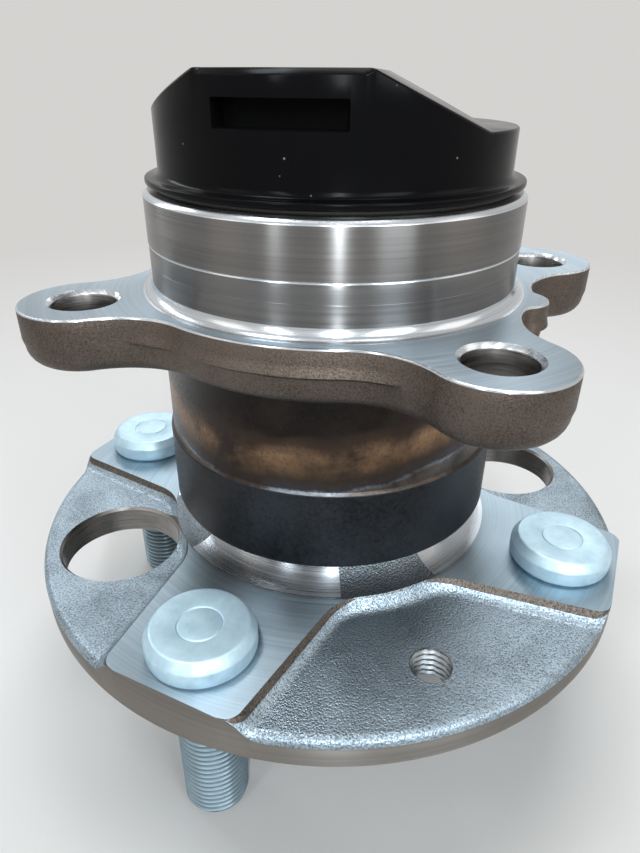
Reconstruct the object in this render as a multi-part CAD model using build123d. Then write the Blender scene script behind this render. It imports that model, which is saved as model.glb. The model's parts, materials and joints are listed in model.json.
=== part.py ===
from build123d import *
import os
from math import asin, cos, hypot, pi, radians, sin, sqrt, tan

# Rear wheel hub bearing with a turning hub flange and a four-eared knuckle flange.
# Millimetres. Z is the bearing axis. Z = 0 is the wheel mounting face and +Z points
# at the knuckle. X and Y run along the sides of the knuckle bolt rectangle.
#
# Radii follow one another from the stud circle inwards: rim, access holes, knuckle
# bolts, knuckle pilot, bearing. Heights follow from the wheel mounting face upwards.

# ---- Wheel flange of the hub ----
stud_circle_r = 50.0
stud_count = 4
rim_margin = 11.4  # the machined rim stands this far outside the stud circle
flange_t = 8.5  # wheel face to stud head seat
web_drop = 2.3  # forged webs lie this far below the pads
web_draft = 35.0  # slope of the web walls, degrees from upright
rim_chamfer = 0.7
rim_round = 1.4  # forged upper edge of the rim between the pads
face_relief_r = 36.0  # the wheel face is relieved inside this radius
face_relief = 0.6
hub_turn = -4.9  # angle of the first stud when the hub is at rest, degrees
pad_margin = 4.2  # flat left beside a stud head
pad_taper = 6.4  # the pads narrow outwards by this angle, degrees
pad_corner_r = 6.5
pad_throat_r = 8.0  # rounded corner between neighbouring pads
pad_end_inset = 1.0  # pads end this far inside the rim
access_hole_r = 11.7  # lets a socket through to the knuckle bolts
access_wall = 3.5  # rim left outside an access hole
access_offset = 0.8  # access holes sit this far outside the knuckle bolts
puller_hole_r = 3.4  # M8 core hole
hole_chamfer = 0.5

# ---- Wheel studs, M12 ----
stud_r = 6.0
stud_head_r = 9.4
stud_head_t = 4.8
stud_head_edge = 1.4  # rolled edge of the head
stud_knurl_r = 6.35  # serrated part pressed in the flange
stud_head_chamfer = 0.4  # under the head
stud_length = 30.2  # beyond the wheel face
stud_tip = 1.2

# ---- Wheel pilot and forged recess ----
wheel_pilot_r = 28.0
wheel_pilot_l = 9.0
wheel_pilot_chamfer = 1.5
pilot_groove = 0.5  # depth of the grinding groove at a pilot's root
pilot_groove_w = 1.6
cup_wall = 6.5  # pilot wall around the recess
cup_depth = 14.0  # recess depth beyond the wheel face
cup_draft = 8.0  # degrees
cup_bend_z = 2.0  # the wall of the recess bends towards the floor at this height
cup_floor_r = 7.0
boss_drop = 1.3  # outer ring's wheel end to the hub's shoulder face
boss_inset = 1.0  # boss radius below seal seat radius
boss_foot_step = 1.0  # boss foot radius beyond the hardened band
boss_bow = 0.3  # how hollow the side of the boss is, 0.5 is straight

# ---- Outer ring ----
ring_lift = 6.0  # stud head seat to the outer ring's wheel end
ring_to_face = 43.4  # wheel end to the knuckle mounting face
bolt_step = 12.0  # knuckle bolt circle beyond the pilot for the knuckle bore
pilot_l = 17.0
pilot_land = 7.7  # length from the end chamfer to a fine groove
pilot_line = 0.2  # depth of that groove and half its width
pilot_chamfer = 0.75
pilot_root_r = 1.8
neck_step = 0.9  # neck radius below pilot radius
band_step = 0.4  # hardened band radius below pilot radius
band_l = 15.5
band_edge = 0.8

# ---- Knuckle flange of the outer ring ----
bolt_angle = 39.54  # direction of the first knuckle bolt, degrees from X
bolt_hole_r = 5.45  # clearance for M10
ear_wall = 5.4
ear_t = 9.9
ear_edge_r = 3.4  # forged lower edge
waist_step = 3.4  # flange reach between the ears, beyond the pilot
waist_blend_r = 14.0
nose_reach = 6.2  # forged nose between the ears on the +X side, beyond the pilot
nose_r = 5.0
nose_blend_r = 2.5
bolt_hole_chamfer = 0.75

# ---- Bearing ----
ball_r = 5.5
ball_gap = 1.4  # least gap between neighbouring balls
race_clear = 0.08  # ball to raceway
race_wall = 4.7  # steel between the outer raceway and the neck
race_shoulder = 2.4  # raceway shoulder height measured from the pitch circle
race_lip = 0.5  # retaining lip on the open side of a raceway
row_to_end = 14.0  # outboard row to the outer ring's wheel end
row_pitch = 23.0
inner_wall = 3.1  # inner ring thickness under the balls
inner_split = 0.5  # the inner ring starts this far before the middle of the rows
inner_ring_head = 9.7  # inboard row to the inner ring's clamped end
inner_ring_bevel = 0.6
clinch_h = 4.2
clinch_reach = 4.2  # how far the rolled end spreads over the inner ring
clinch_edge = 2.2  # rounding of the rolled end
clinch_wall = 4.0  # thickness of the rolled end at its root
clinch_bevel = 2.0
clinch_sink = 3.0  # the spindle's middle lies this far below the rolled end
land_step = 2.0  # seal land down to the raceway's shoulder
land_bevel = 0.6
cage_t = 3.2
cage_back = 1.6  # cage web behind a ball
cage_front = 1.5  # prongs reach past the ball centres
pocket_clear = 0.15

# ---- Seals and speed encoder ----
seal_step = 0.7  # seal seat radius beyond the raceway's open side
seal_sheet = 0.7  # pressed sheet of seal cases, slinger and carrier
seal_depth = 5.2
seal_set = 0.5  # seal case behind the ring's end
seal_gap = 0.3  # running gap between a lip and what it wipes
slinger_clear = 0.9  # slinger rim inside the seal case
lip_reach = 2.2  # seal case bore to what the lips wipe
lip_t = 0.8
lip_edge = 0.4
lip_bevel = 0.6
side_lip_root = 1.4
side_lip_inset = 1.4  # side lip's edge inside the seal case
side_lip_spread = 1.2  # how far the inboard side lip leans out
inboard_seal_set = 8.5  # inboard row to the inner seal's seat
inboard_seal_depth = 3.5
carrier_set = 1.0  # encoder carrier above the raceway's shoulder
carrier_rise = 2.2  # seal seat to the carrier's flange
magnet_t = 1.0
magnet_w = 5.0
magnet_clear = 1.6  # encoder rim inside the seal seat
sensor_gap = 0.8

# ---- Sensor cap ----
cap_rim_step = 0.6  # rim radius below pilot radius
cap_rim_t = 1.0
cap_rim_edge = 0.3
cap_root_step = 0.1  # floor of the ring groove inside the body
cap_joint = 1.0  # height of the ring groove between the rim and the steel
cap_body_step = 2.3  # body radius below rim radius
cap_h = 17.8  # steel end face to the top
cap_wall = 3.0
cap_top_wall = 2.4
cap_edge = 0.5
cap_shelf_drop = 7.9  # top to the low flats on both sides
cap_turn = 4.5  # the cap is symmetric about a plane turned this far from Y, degrees
cap_shelf_w = 2.82  # greatest width of a low flat
roof_fall = 27.5  # slopes beside the roof, degrees
slot_side = 2.75  # flat roof beyond each end of the slot
slot_h = 3.9
slot_drop = 3.45  # top to the slot's upper edge
slot_depth = 6.0
oring_r = 0.48
sleeve_t = 0.8
sleeve_grip = 2.6  # sleeve length moulded in the cap
sleeve_step = 0.8  # sleeve seat radius beyond the seal seat
sleeve_set = 3.0  # sleeve end above the encoder
sleeve_seat_gap = 0.5  # sleeve end above its shoulder in the outer ring
socket_w = 13.0
socket_h = 8.0
socket_depth = 10.0
socket_wall = 1.8
socket_drop = 4.2  # top to the socket's upper wall
pin_w = 1.5
pin_t = 0.7
pin_pitch = 5.0
pin_l = 5.0
chip_w = 7.0
chip_t = 3.6
chip_h = 6.0
chip_show = 0.8  # the chip stands this far out of its post
post_wall = 1.5

# ---- Places that follow from the sizes above ----
round_in = 1 - sqrt(0.5)  # a quarter round lies this share of its radius inside its corner

ring_z = flange_t + ring_lift
face_z = ring_z + ring_to_face
end_z = face_z + pilot_l
web_z = flange_t - web_drop

flange_r = stud_circle_r + rim_margin
access_circle_r = flange_r - access_wall - access_hole_r
bolt_circle_r = access_circle_r - access_offset
bolt_x = bolt_circle_r * cos(radians(bolt_angle))
bolt_y = bolt_circle_r * sin(radians(bolt_angle))
pilot_r = bolt_circle_r - bolt_step
neck_r = pilot_r - neck_step
band_r = pilot_r - band_step
waist_r = pilot_r + waist_step
ear_r = bolt_hole_r + ear_wall

groove_r = ball_r + race_clear
pitch_r = neck_r - race_wall - groove_r
ball_count = int(pi / asin((ball_r + ball_gap / 2) / pitch_r))
outer_open_r = pitch_r + groove_r - race_lip
inner_head_r = pitch_r - race_shoulder
inner_open_r = pitch_r - groove_r + race_lip
seat_r = pitch_r - groove_r - inner_wall
row_z = (ring_z + row_to_end, ring_z + row_to_end + row_pitch)
shoulder_reach = sqrt(groove_r**2 - race_shoulder**2)
open_reach = sqrt(groove_r**2 - (groove_r - race_lip) ** 2)
step_z = (row_z[0] + row_z[1]) / 2 - inner_split
ring_head_z = row_z[1] + inner_ring_head

seal_seat_r = outer_open_r + seal_step
seal_seat_z = (ring_z + seal_set + seal_depth, row_z[1] + inboard_seal_set)
land_r = inner_head_r + land_bevel
lip_bore_r = land_r + seal_sheet + lip_reach
boss_z = ring_z - boss_drop
boss_r = seal_seat_r - boss_inset
foot_r = band_r + boss_foot_step
sleeve_r = seal_seat_r + sleeve_step
carrier_z = seal_seat_z[1] + carrier_rise
magnet_z = carrier_z + seal_sheet + magnet_t
magnet_r = (seal_seat_r - magnet_clear - magnet_w, seal_seat_r - magnet_clear)
sleeve_z = magnet_z + sleeve_set

rim_r = pilot_r - cap_rim_step
rim_z = end_z + cap_joint
body_r = rim_r - cap_body_step
cap_root_r = body_r - cap_root_step
body_z = rim_z + cap_rim_t
top_z = end_z + cap_h
shelf_z = top_z - cap_shelf_drop
shelf_x = body_r - cap_shelf_w
roof_half_w = shelf_x - cap_shelf_drop / tan(radians(roof_fall))
slot_w = 2 * (roof_half_w - slot_side)
chip_z = magnet_z + sensor_gap
chip_y = (magnet_r[0] + magnet_r[1]) / 2
slot_low = top_z - slot_drop - slot_h
slot_back = body_r - slot_depth
socket_floor = body_r - socket_depth
socket_low = top_z - socket_drop - socket_h

STAND = (Align.CENTER, Align.CENTER, Align.MIN)  # a cylinder that stands on its base
CLOSE = 0.01  # two places nearer than this are one
STEEP = 0.9  # an edge that rises faster than this along its length is upright


def turned(start, *steps):
    """Solid of revolution of a closed (radius, height) outline.

    A step is the next corner, or a pair (via, corner) for an arc through via.
    """
    edges = []
    here = start
    for step in list(steps) + [start]:
        if isinstance(step[0], tuple):
            edges.append(ThreePointArc(here, step[0], step[1]))
            here = step[1]
        elif step != here:
            edges.append(Line(here, step))
            here = step
    return revolve(Plane.XZ * make_face(edges), Axis.Z)


def polar(radius, angle, z=0.0):
    """Place on a circle about Z."""
    return Pos(radius * cos(radians(angle)), radius * sin(radians(angle)), z)


def drill(radius, low, high, chamfer_size, above=1.0):
    """Cutter for a hole with a chamfer at both ends, open for above over its top."""
    wide = radius + chamfer_size
    return turned(
        (0, low - 1),
        (wide, low - 1),
        (wide, low),
        (radius, low + chamfer_size),
        (radius, high - chamfer_size),
        (wide, high),
        (wide, high + above),
        (0, high + above),
    )


def race_arc(z, side_out, side_up):
    """Via and end heights of a raceway groove section.

    side_out is +1 for the outer ring and -1 for an inner race. side_up is +1 where
    the loaded shoulder lies above the ball centre.
    """
    middle = pitch_r + side_out * groove_r
    shoulder = (pitch_r + side_out * race_shoulder, z + side_up * shoulder_reach)
    opening = (middle - side_out * race_lip, z - side_up * open_reach)
    return shoulder, (middle, z), opening


# ---------------------------------------------------------------- hub


def pad_half_width(reach):
    """Half width of a stud pad at a distance from the bearing axis."""
    at_stud = stud_head_r + pad_margin
    return at_stud - (reach - stud_circle_r) * tan(radians(pad_taper))


def pad_outline(grow):
    """Plan of one stud pad along +X, wider by grow all round."""
    inner, outer = inner_open_r, flange_r - pad_end_inset + grow
    low, high = pad_half_width(inner) + grow, pad_half_width(outer) + grow
    corners = [(inner, -low), (outer, -high), (outer, high), (inner, low)]
    face = make_face(Polyline(*corners, close=True))
    tips = face.vertices().sort_by(Axis.X)[-2:]
    return fillet(tips, pad_corner_r)


def island():
    """Everything that stays above the forged webs: four pads around the boss."""
    low = web_z - rim_round
    spread = (flange_t - low) * tan(radians(web_draft))
    plan = Circle(foot_r + spread)
    for i in range(stud_count):
        plan += Rot(0, 0, 360 * i / stud_count) * pad_outline(spread)
    throats = [v for v in plan.vertices() if abs(hypot(v.X, v.Y) - foot_r - spread) < CLOSE]
    plan = fillet(throats, pad_throat_r)
    return Pos(0, 0, low) * extrude(plan, ring_z - low, taper=web_draft)


def webs():
    """Cutter for the four forged webs, with the rounded rim below them."""
    low = web_z - rim_round
    bend = rim_round * round_in
    around = turned(
        (boss_r, web_z),
        (flange_r - rim_round, web_z),
        ((flange_r - bend, web_z - bend), (flange_r, low)),
        (flange_r + flange_t, low),
        (flange_r + flange_t, ring_z),
        (boss_r, ring_z),
    )
    return around - island()


def hub_turning():
    """Turned outline of the hub: flange, boss, seal land, raceway, inner ring seat."""
    shoulder, bottom, opening = race_arc(row_z[0], -1, -1)
    cup_r = wheel_pilot_r - cup_wall
    draft = tan(radians(cup_draft))
    cup_in_r = cup_r - (wheel_pilot_l + cup_bend_z) * draft
    bend = boss_bow * (foot_r - boss_r)
    fillet_via = (boss_r + bend, flange_t + bend * (boss_z - flange_t) / (foot_r - boss_r))
    collar_r = seat_r + clinch_reach
    collar_z = ring_head_z + clinch_h
    clinch_in = clinch_edge * round_in
    groove_in_r = wheel_pilot_r - pilot_groove
    return turned(
        (0, cup_depth),
        (cup_floor_r, cup_depth),
        (cup_in_r, cup_bend_z),
        (cup_r, -wheel_pilot_l),
        (wheel_pilot_r - wheel_pilot_chamfer, -wheel_pilot_l),
        (wheel_pilot_r, wheel_pilot_chamfer - wheel_pilot_l),
        (wheel_pilot_r, face_relief - pilot_groove_w),
        (groove_in_r, face_relief - pilot_groove_w + pilot_groove),
        (groove_in_r, face_relief),
        (face_relief_r, face_relief),
        (face_relief_r + face_relief, 0),
        (flange_r - rim_chamfer, 0),
        (flange_r, rim_chamfer),
        (flange_r, flange_t),
        (foot_r, flange_t),
        (fillet_via, (boss_r, boss_z)),
        (land_r, boss_z),
        (land_r, shoulder[1] - land_step),
        (inner_head_r, shoulder[1] - land_step + land_bevel),
        shoulder,
        (bottom, opening),
        (inner_open_r, step_z),
        (seat_r, step_z),
        (seat_r, ring_head_z),
        (collar_r, ring_head_z),
        (collar_r, collar_z - clinch_edge),
        ((collar_r - clinch_in, collar_z - clinch_in), (collar_r - clinch_edge, collar_z)),
        (seat_r - clinch_wall, collar_z),
        (seat_r - clinch_wall - clinch_bevel, collar_z - clinch_sink),
        (0, collar_z - clinch_sink),
    )


def hub_spindle():
    """Forged hub: turned body, webs between the pads, and all flange holes."""
    body = hub_turning() - webs()
    stud_hole = Cylinder(stud_knurl_r, 4 * flange_t)
    body -= [polar(stud_circle_r, 360 * i / stud_count) * stud_hole for i in range(stud_count)]
    half = 180 / stud_count
    access = drill(access_hole_r, 0, web_z, hole_chamfer, ring_lift)
    body -= [polar(access_circle_r, half + turn) * access for turn in (0, 180)]
    puller = drill(puller_hole_r, 0, web_z, hole_chamfer / 2)
    body -= [polar(stud_circle_r, half + turn) * puller for turn in (90, 270)]
    return Rot(0, 0, hub_turn) * body


def wheel_stud(index):
    """Pressed wheel stud with a rolled round head."""
    top = flange_t + stud_head_t
    edge = stud_head_edge
    bend = edge * round_in
    lead = stud_knurl_r - stud_r
    stud = turned(
        (0, -stud_length),
        (stud_r - stud_tip, -stud_length),
        (stud_r, stud_tip - stud_length),
        (stud_r, -lead),
        (stud_knurl_r, 0),
        (stud_knurl_r, flange_t),
        (stud_head_r - stud_head_chamfer, flange_t),
        (stud_head_r, flange_t + stud_head_chamfer),
        (stud_head_r, top - edge),
        ((stud_head_r - bend, top - bend), (stud_head_r - edge, top)),
        (0, top),
    )
    return polar(stud_circle_r, hub_turn + 360 * index / stud_count) * stud


def inner_ring():
    """Pressed inner ring with the inboard inner raceway."""
    shoulder, bottom, opening = race_arc(row_z[1], -1, 1)
    return turned(
        (seat_r, step_z),
        (inner_open_r, step_z),
        opening,
        (bottom, shoulder),
        (inner_head_r, ring_head_z - inner_ring_bevel),
        (inner_head_r - inner_ring_bevel, ring_head_z),
        (seat_r, ring_head_z),
    )


# ---------------------------------------------------------------- outer ring


def flange_plan():
    """Plan of the knuckle flange: four ears and one forged nose around a waist."""
    plan = Circle(waist_r)
    for sx in (-1, 1):
        for sy in (-1, 1):
            plan += Pos(sx * bolt_x, sy * bolt_y) * Circle(ear_r)
    plan = fillet(plan.vertices(), waist_blend_r)
    plan += Pos(pilot_r + nose_reach - nose_r, 0) * Circle(nose_r)
    corners = [v for v in plan.vertices() if abs(v.Y) < nose_r and v.X > waist_r - nose_r]
    return fillet(corners, nose_blend_r)


def knuckle_flange():
    """Forged flange with rounded lower edges, before the bolt holes."""
    slab = Pos(0, 0, face_z - ear_t) * extrude(flange_plan(), ear_t)
    lower = slab.edges().group_by(Axis.Z)[0]
    return fillet(lower, ear_edge_r)


def ring_turning():
    """Turned outline of the outer ring with both outer raceways."""
    rib_1, bottom_1, open_1 = race_arc(row_z[0], 1, 1)
    rib_2, bottom_2, open_2 = race_arc(row_z[1], 1, -1)
    line_z = end_z - pilot_chamfer - pilot_land - pilot_line
    root = pilot_root_r
    bend = root * round_in
    band_z = ring_z + band_l
    return turned(
        (seal_seat_r, ring_z),
        (band_r - band_edge, ring_z),
        (band_r, ring_z + band_edge),
        (band_r, band_z),
        (neck_r, band_z + band_r - neck_r),
        (neck_r, face_z),
        (pilot_r + root, face_z),
        ((pilot_r + bend, face_z + bend), (pilot_r, face_z + root)),
        (pilot_r, line_z - pilot_line),
        (pilot_r - pilot_line, line_z),
        (pilot_r, line_z + pilot_line),
        (pilot_r, end_z - pilot_chamfer),
        (pilot_r - pilot_chamfer, end_z),
        (sleeve_r, end_z),
        (sleeve_r, sleeve_z - sleeve_seat_gap),
        (seal_seat_r, sleeve_z - sleeve_seat_gap),
        (seal_seat_r, seal_seat_z[1]),
        (outer_open_r, seal_seat_z[1]),
        open_2,
        (bottom_2, rib_2),
        rib_1,
        (bottom_1, open_1),
        (outer_open_r, seal_seat_z[0]),
        (seal_seat_r, seal_seat_z[0]),
    )


def outer_ring():
    """Stationary outer ring with its knuckle flange."""
    core = Pos(0, 0, face_z) * Cylinder(neck_r - race_wall / 2, 4 * ear_t)
    body = ring_turning() + (knuckle_flange() - core)
    hole = drill(bolt_hole_r, face_z - ear_t, face_z, bolt_hole_chamfer)
    for sx in (-1, 1):
        for sy in (-1, 1):
            body -= Pos(sx * bolt_x, sy * bolt_y) * hole
    return body


# ---------------------------------------------------------------- ball rows


def ball_places(z):
    """Ball centres of one row."""
    return [polar(pitch_r, 360 * i / ball_count, z) for i in range(ball_count)]


def balls(z):
    """One row of balls."""
    return Compound([place * Solid.make_sphere(ball_r) for place in ball_places(z)])


def cage(z, back):
    """Snap cage of one row. back is +1 where its web lies above the balls."""
    web = z + back * (ball_r + pocket_clear + cage_back)
    front = z - back * cage_front
    low, high = min(web, front), max(web, front)
    inner, outer = pitch_r - cage_t / 2, pitch_r + cage_t / 2
    body = turned((inner, low), (outer, low), (outer, high), (inner, high))
    body -= [place * Sphere(ball_r + pocket_clear) for place in ball_places(z)]
    return body


# ---------------------------------------------------------------- seals and encoder


def outboard_slinger():
    """Thin steel angle on the hub's seal land, for the lips to wipe."""
    reach = seal_seat_r - seal_sheet - slinger_clear
    top = seal_seat_z[0]
    return turned(
        (land_r, boss_z),
        (reach, boss_z),
        (reach, boss_z + seal_sheet),
        (land_r + seal_sheet, boss_z + seal_sheet),
        (land_r + seal_sheet, top),
        (land_r, top),
    )


def seal_case(seat_z, depth, side):
    """Pressed steel case with its web at seat_z, open towards side."""
    web = seat_z + side * seal_sheet
    return turned(
        (seal_seat_r, seat_z),
        (seal_seat_r, seat_z + side * depth),
        (seal_seat_r - seal_sheet, seat_z + side * depth),
        (seal_seat_r - seal_sheet, web),
        (lip_bore_r, web),
        (lip_bore_r, seat_z),
    )


def outboard_seal_lips():
    """Rubber on the outboard case: a side lip and a bore lip."""
    bore = lip_bore_r
    web = seal_seat_z[0] - seal_sheet
    wiped_z = boss_z + seal_sheet + seal_gap
    wiped_r = land_r + seal_sheet + seal_gap
    out = seal_seat_r - seal_sheet
    return turned(
        (bore, seal_seat_z[0]),
        (wiped_r + lip_bevel, seal_seat_z[0]),
        (wiped_r, web),
        (wiped_r, web - lip_edge),
        (bore, web - lip_t),
        (bore + lip_t, web - lip_t),
        (out - side_lip_inset - lip_edge, wiped_z),
        (out - side_lip_inset, wiped_z),
        (bore + lip_t + side_lip_root, web - lip_t),
        (out, web - lip_t),
        (out, web),
        (bore, web),
    )


def inboard_seal_lips():
    """Rubber on the inboard case, wiping the encoder carrier."""
    bore = lip_bore_r
    web = seal_seat_z[1] + seal_sheet
    wiped_z = carrier_z - seal_gap
    wiped_r = inner_head_r + seal_sheet + seal_gap
    return turned(
        (bore, seal_seat_z[1]),
        (wiped_r + lip_bevel, seal_seat_z[1]),
        (wiped_r, web - lip_edge),
        (wiped_r, web),
        (bore, web + lip_edge),
        (bore + side_lip_spread, wiped_z),
        (bore + side_lip_spread + lip_edge, wiped_z),
        (bore + side_lip_spread, web),
        (bore, web),
    )


def encoder_carrier():
    """Pressed angle ring on the inner ring's head."""
    low = row_z[1] + shoulder_reach + carrier_set
    return turned(
        (inner_head_r, low),
        (inner_head_r + seal_sheet, low),
        (inner_head_r + seal_sheet, carrier_z),
        (magnet_r[1], carrier_z),
        (magnet_r[1], carrier_z + seal_sheet),
        (inner_head_r, carrier_z + seal_sheet),
    )


def encoder_magnet():
    """Magnetic rubber track bonded on the carrier."""
    low, high = carrier_z + seal_sheet, magnet_z
    return turned((magnet_r[0], low), (magnet_r[1], low), (magnet_r[1], high), (magnet_r[0], high))


# ---------------------------------------------------------------- sensor cap


def slope_cut(side, sink):
    """Wedge that lowers the cap's top on one side, down to the shelf."""
    far = 3 * body_r
    high = top_z + cap_h
    shape = Polyline(
        (roof_half_w, top_z),
        (shelf_x, shelf_z),
        (far, shelf_z),
        (far, high),
        (roof_half_w, high),
        close=True,
    )
    wedge = extrude(Plane.XZ * make_face(shape), far, both=True)
    return Rot(0, 0, 90 - 90 * side) * Pos(0, 0, -sink) * wedge


def cap_form(radius, low, sink):
    """Closed form of the cap inside a radius, with its top lowered by sink."""
    form = Pos(0, 0, low) * Cylinder(radius, top_z - sink - low, align=STAND)
    return form - slope_cut(1, sink) - slope_cut(-1, sink)


def block(x_size, y_low, y_high, z_low, z_high):
    """Box centred on X between two depths and two heights."""
    box = Box(x_size, y_high - y_low, z_high - z_low, align=(Align.CENTER, Align.MIN, Align.MIN))
    return Pos(0, y_low, z_low) * box


def cap_rim():
    """Rim ring with the groove for the sealing ring under it."""
    edge = cap_rim_edge
    return turned(
        (body_r - cap_wall, end_z),
        (cap_root_r, end_z),
        (cap_root_r, rim_z),
        (rim_r - edge, rim_z),
        (rim_r, rim_z + edge),
        (rim_r, body_z - edge),
        (rim_r - edge, body_z),
        (body_r - cap_wall, body_z),
    )


def sensor_cap_housing():
    """Moulded cap with its rim, sloped top, front slot, plug socket and sensor post."""
    outside = cap_form(body_r, rim_z, 0)
    crown = [e for e in outside.edges() if (e @ 0.5).Z > body_z and abs((e % 0.5).Z) < STEEP]
    outside = chamfer(crown, cap_edge)
    shell = outside - cap_form(body_r - cap_wall, end_z, cap_top_wall)
    slot_w_out = slot_w + 2 * post_wall
    front = block(slot_w_out, -body_r, post_wall - slot_back, slot_low - post_wall, top_z)
    rear_low = socket_low - socket_wall
    rear = block(socket_w + 2 * socket_wall, socket_floor - socket_wall, body_r, rear_low, top_z)
    post_y = chip_y + chip_t / 2 + post_wall
    post_z = chip_z + chip_show
    post = block(chip_w + 2 * post_wall, socket_floor - socket_wall, post_y, post_z, socket_low)
    body = shell + ((front + rear) & outside) + post + cap_rim()
    body -= block(slot_w, -rim_r, -slot_back, slot_low, slot_low + slot_h)
    body -= block(socket_w, socket_floor, rim_r, socket_low, socket_low + socket_h)
    body = Rot(0, 0, cap_turn) * body
    return body - sensor_cap_sleeve() - sensor_element() - sensor_terminals()


def sensor_cap_sleeve():
    """Steel sleeve pressed in the outer ring and moulded in the cap."""
    low, high = sleeve_z, end_z + sleeve_grip
    inner = sleeve_r - sleeve_t
    return turned((inner, low), (sleeve_r, low), (sleeve_r, high), (inner, high))


def sensor_cap_oring():
    """Sealing ring in the groove between the cap's rim and the steel end face."""
    major = cap_root_r + cap_joint / 2
    return Pos(0, 0, end_z + cap_joint / 2) * Torus(major, oring_r)


def sensor_element():
    """Speed sensor chip at the foot of the post, facing the encoder."""
    chip = block(chip_w, chip_y - chip_t / 2, chip_y + chip_t / 2, chip_z, chip_z + chip_h)
    return Rot(0, 0, cap_turn) * chip


def sensor_terminals():
    """Two contacts from the chip up the socket's back wall and out into the socket."""
    back_y = socket_floor - (socket_wall + pin_t) / 2
    foot_z = chip_z + chip_h
    blade_z = socket_low + (socket_h - pin_t) / 2
    foot = block(pin_w, back_y, chip_y, foot_z, foot_z + pin_t)
    riser = block(pin_w, back_y, back_y + pin_t, foot_z, blade_z + pin_t)
    blade = block(pin_w, back_y, socket_floor + pin_l, blade_z, blade_z + pin_t)
    pin = (foot + riser + blade).solid()
    turn = Rot(0, 0, cap_turn)
    return Compound([turn * Pos(side * pin_pitch / 2, 0, 0) * pin for side in (-1, 1)])


def nodes():
    """Every sub-part by node name."""
    parts = {
        "outer_ring": outer_ring(),
        "hub_spindle": hub_spindle(),
        "inner_ring": inner_ring(),
        "outboard_balls": balls(row_z[0]),
        "inboard_balls": balls(row_z[1]),
        "outboard_cage": cage(row_z[0], -1),
        "inboard_cage": cage(row_z[1], 1),
        "outboard_slinger": outboard_slinger(),
        "outboard_seal_case": seal_case(seal_seat_z[0], seal_depth, -1),
        "outboard_seal_lips": outboard_seal_lips(),
        "inboard_seal_case": seal_case(seal_seat_z[1], inboard_seal_depth, 1),
        "inboard_seal_lips": inboard_seal_lips(),
        "encoder_carrier": encoder_carrier(),
        "encoder_magnet": encoder_magnet(),
        "sensor_cap_housing": sensor_cap_housing(),
        "sensor_cap_sleeve": sensor_cap_sleeve(),
        "sensor_cap_oring": sensor_cap_oring(),
        "sensor_element": sensor_element(),
        "sensor_terminals": sensor_terminals(),
    }
    for i in range(stud_count):
        parts[f"wheel_stud_{i + 1}"] = wheel_stud(i)
    return parts


os.makedirs("parts", exist_ok=True)
for name, shape in nodes().items():
    export_step(shape, f"parts/{name}.step")
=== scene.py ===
import json
from math import acos, atan2, ceil, cos, hypot, pi, radians, sin, sqrt, tan

import bmesh
import bpy
import numpy as np
from mathutils import Matrix, Vector

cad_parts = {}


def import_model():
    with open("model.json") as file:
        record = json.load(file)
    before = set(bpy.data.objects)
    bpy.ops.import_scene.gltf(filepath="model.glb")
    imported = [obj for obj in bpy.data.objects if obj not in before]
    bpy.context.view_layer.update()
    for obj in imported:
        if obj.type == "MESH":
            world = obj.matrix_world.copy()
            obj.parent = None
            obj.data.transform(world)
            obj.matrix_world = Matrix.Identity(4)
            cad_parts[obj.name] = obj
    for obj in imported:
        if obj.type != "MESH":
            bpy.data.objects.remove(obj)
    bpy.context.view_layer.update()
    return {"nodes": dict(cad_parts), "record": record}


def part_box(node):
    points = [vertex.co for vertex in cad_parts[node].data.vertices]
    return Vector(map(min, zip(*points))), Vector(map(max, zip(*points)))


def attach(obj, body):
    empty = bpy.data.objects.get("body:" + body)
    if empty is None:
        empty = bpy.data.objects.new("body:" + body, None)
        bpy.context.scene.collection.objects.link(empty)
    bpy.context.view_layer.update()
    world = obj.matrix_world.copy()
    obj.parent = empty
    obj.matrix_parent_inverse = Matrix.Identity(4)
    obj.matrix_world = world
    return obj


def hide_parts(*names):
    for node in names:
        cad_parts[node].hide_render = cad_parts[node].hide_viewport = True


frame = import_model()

# Looks of the wheel hub bearing. Lengths are millimetres unless a name says metres.

MM = 0.001
TAU = 2 * pi


# ---- sizes from the frame


def box_mm(node):
    """Lowest and highest corner of a CAD node, in millimetres."""
    low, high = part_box(node)
    return np.array(low) / MM, np.array(high) / MM


def dims_of(name):
    """The dimensions of one of the record's mounts."""
    mounts = frame["record"]["mounts"]
    return next(m["dims"] for m in mounts if m["name"] == name)


HUB_LOW, HUB_HIGH = box_mm("hub_spindle")
RING_LOW, RING_HIGH = box_mm("outer_ring")
STUD_LOW, STUD_HIGH = box_mm("wheel_stud_1")
CAP_LOW, CAP_HIGH = box_mm("sensor_cap_housing")
INNER_LOW, INNER_HIGH = box_mm("inner_ring")

FLANGE_R = HUB_HIGH[0]
STUDS = dims_of("wheel_studs")
STUD_CIRCLE_R = STUDS["pcd_mm"] / 2
STUD_R = STUDS["stud_r_mm"]
STUD_HEAD_R = (STUD_HIGH[0] - STUD_LOW[0]) / 2
STUD_TOP = STUD_HIGH[2]
STUD_END = STUD_LOW[2]
STUD_COUNT = STUDS["count"]
STUD_PLACE = (STUD_LOW + STUD_HIGH) / 2
HUB_TURN = atan2(STUD_PLACE[1], STUD_PLACE[0])
WHEEL_PILOT_R = dims_of("wheel_pilot")["r_mm"]
WHEEL_PILOT_END = HUB_LOW[2]
CLINCH_Z = HUB_HIGH[2]
PILOT_R = dims_of("knuckle_pilot")["r_mm"]
BOLTS = dims_of("knuckle_bolts")
BOLT_X = BOLTS["spacing_x_mm"] / 2
BOLT_Y = BOLTS["spacing_y_mm"] / 2
BOLT_HOLE_R = BOLTS["hole_r_mm"]
EAR_R = RING_HIGH[1] - BOLT_Y
RING_Z = RING_LOW[2]
END_Z = RING_HIGH[2]
CAP_TOP = CAP_HIGH[2]
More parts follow.
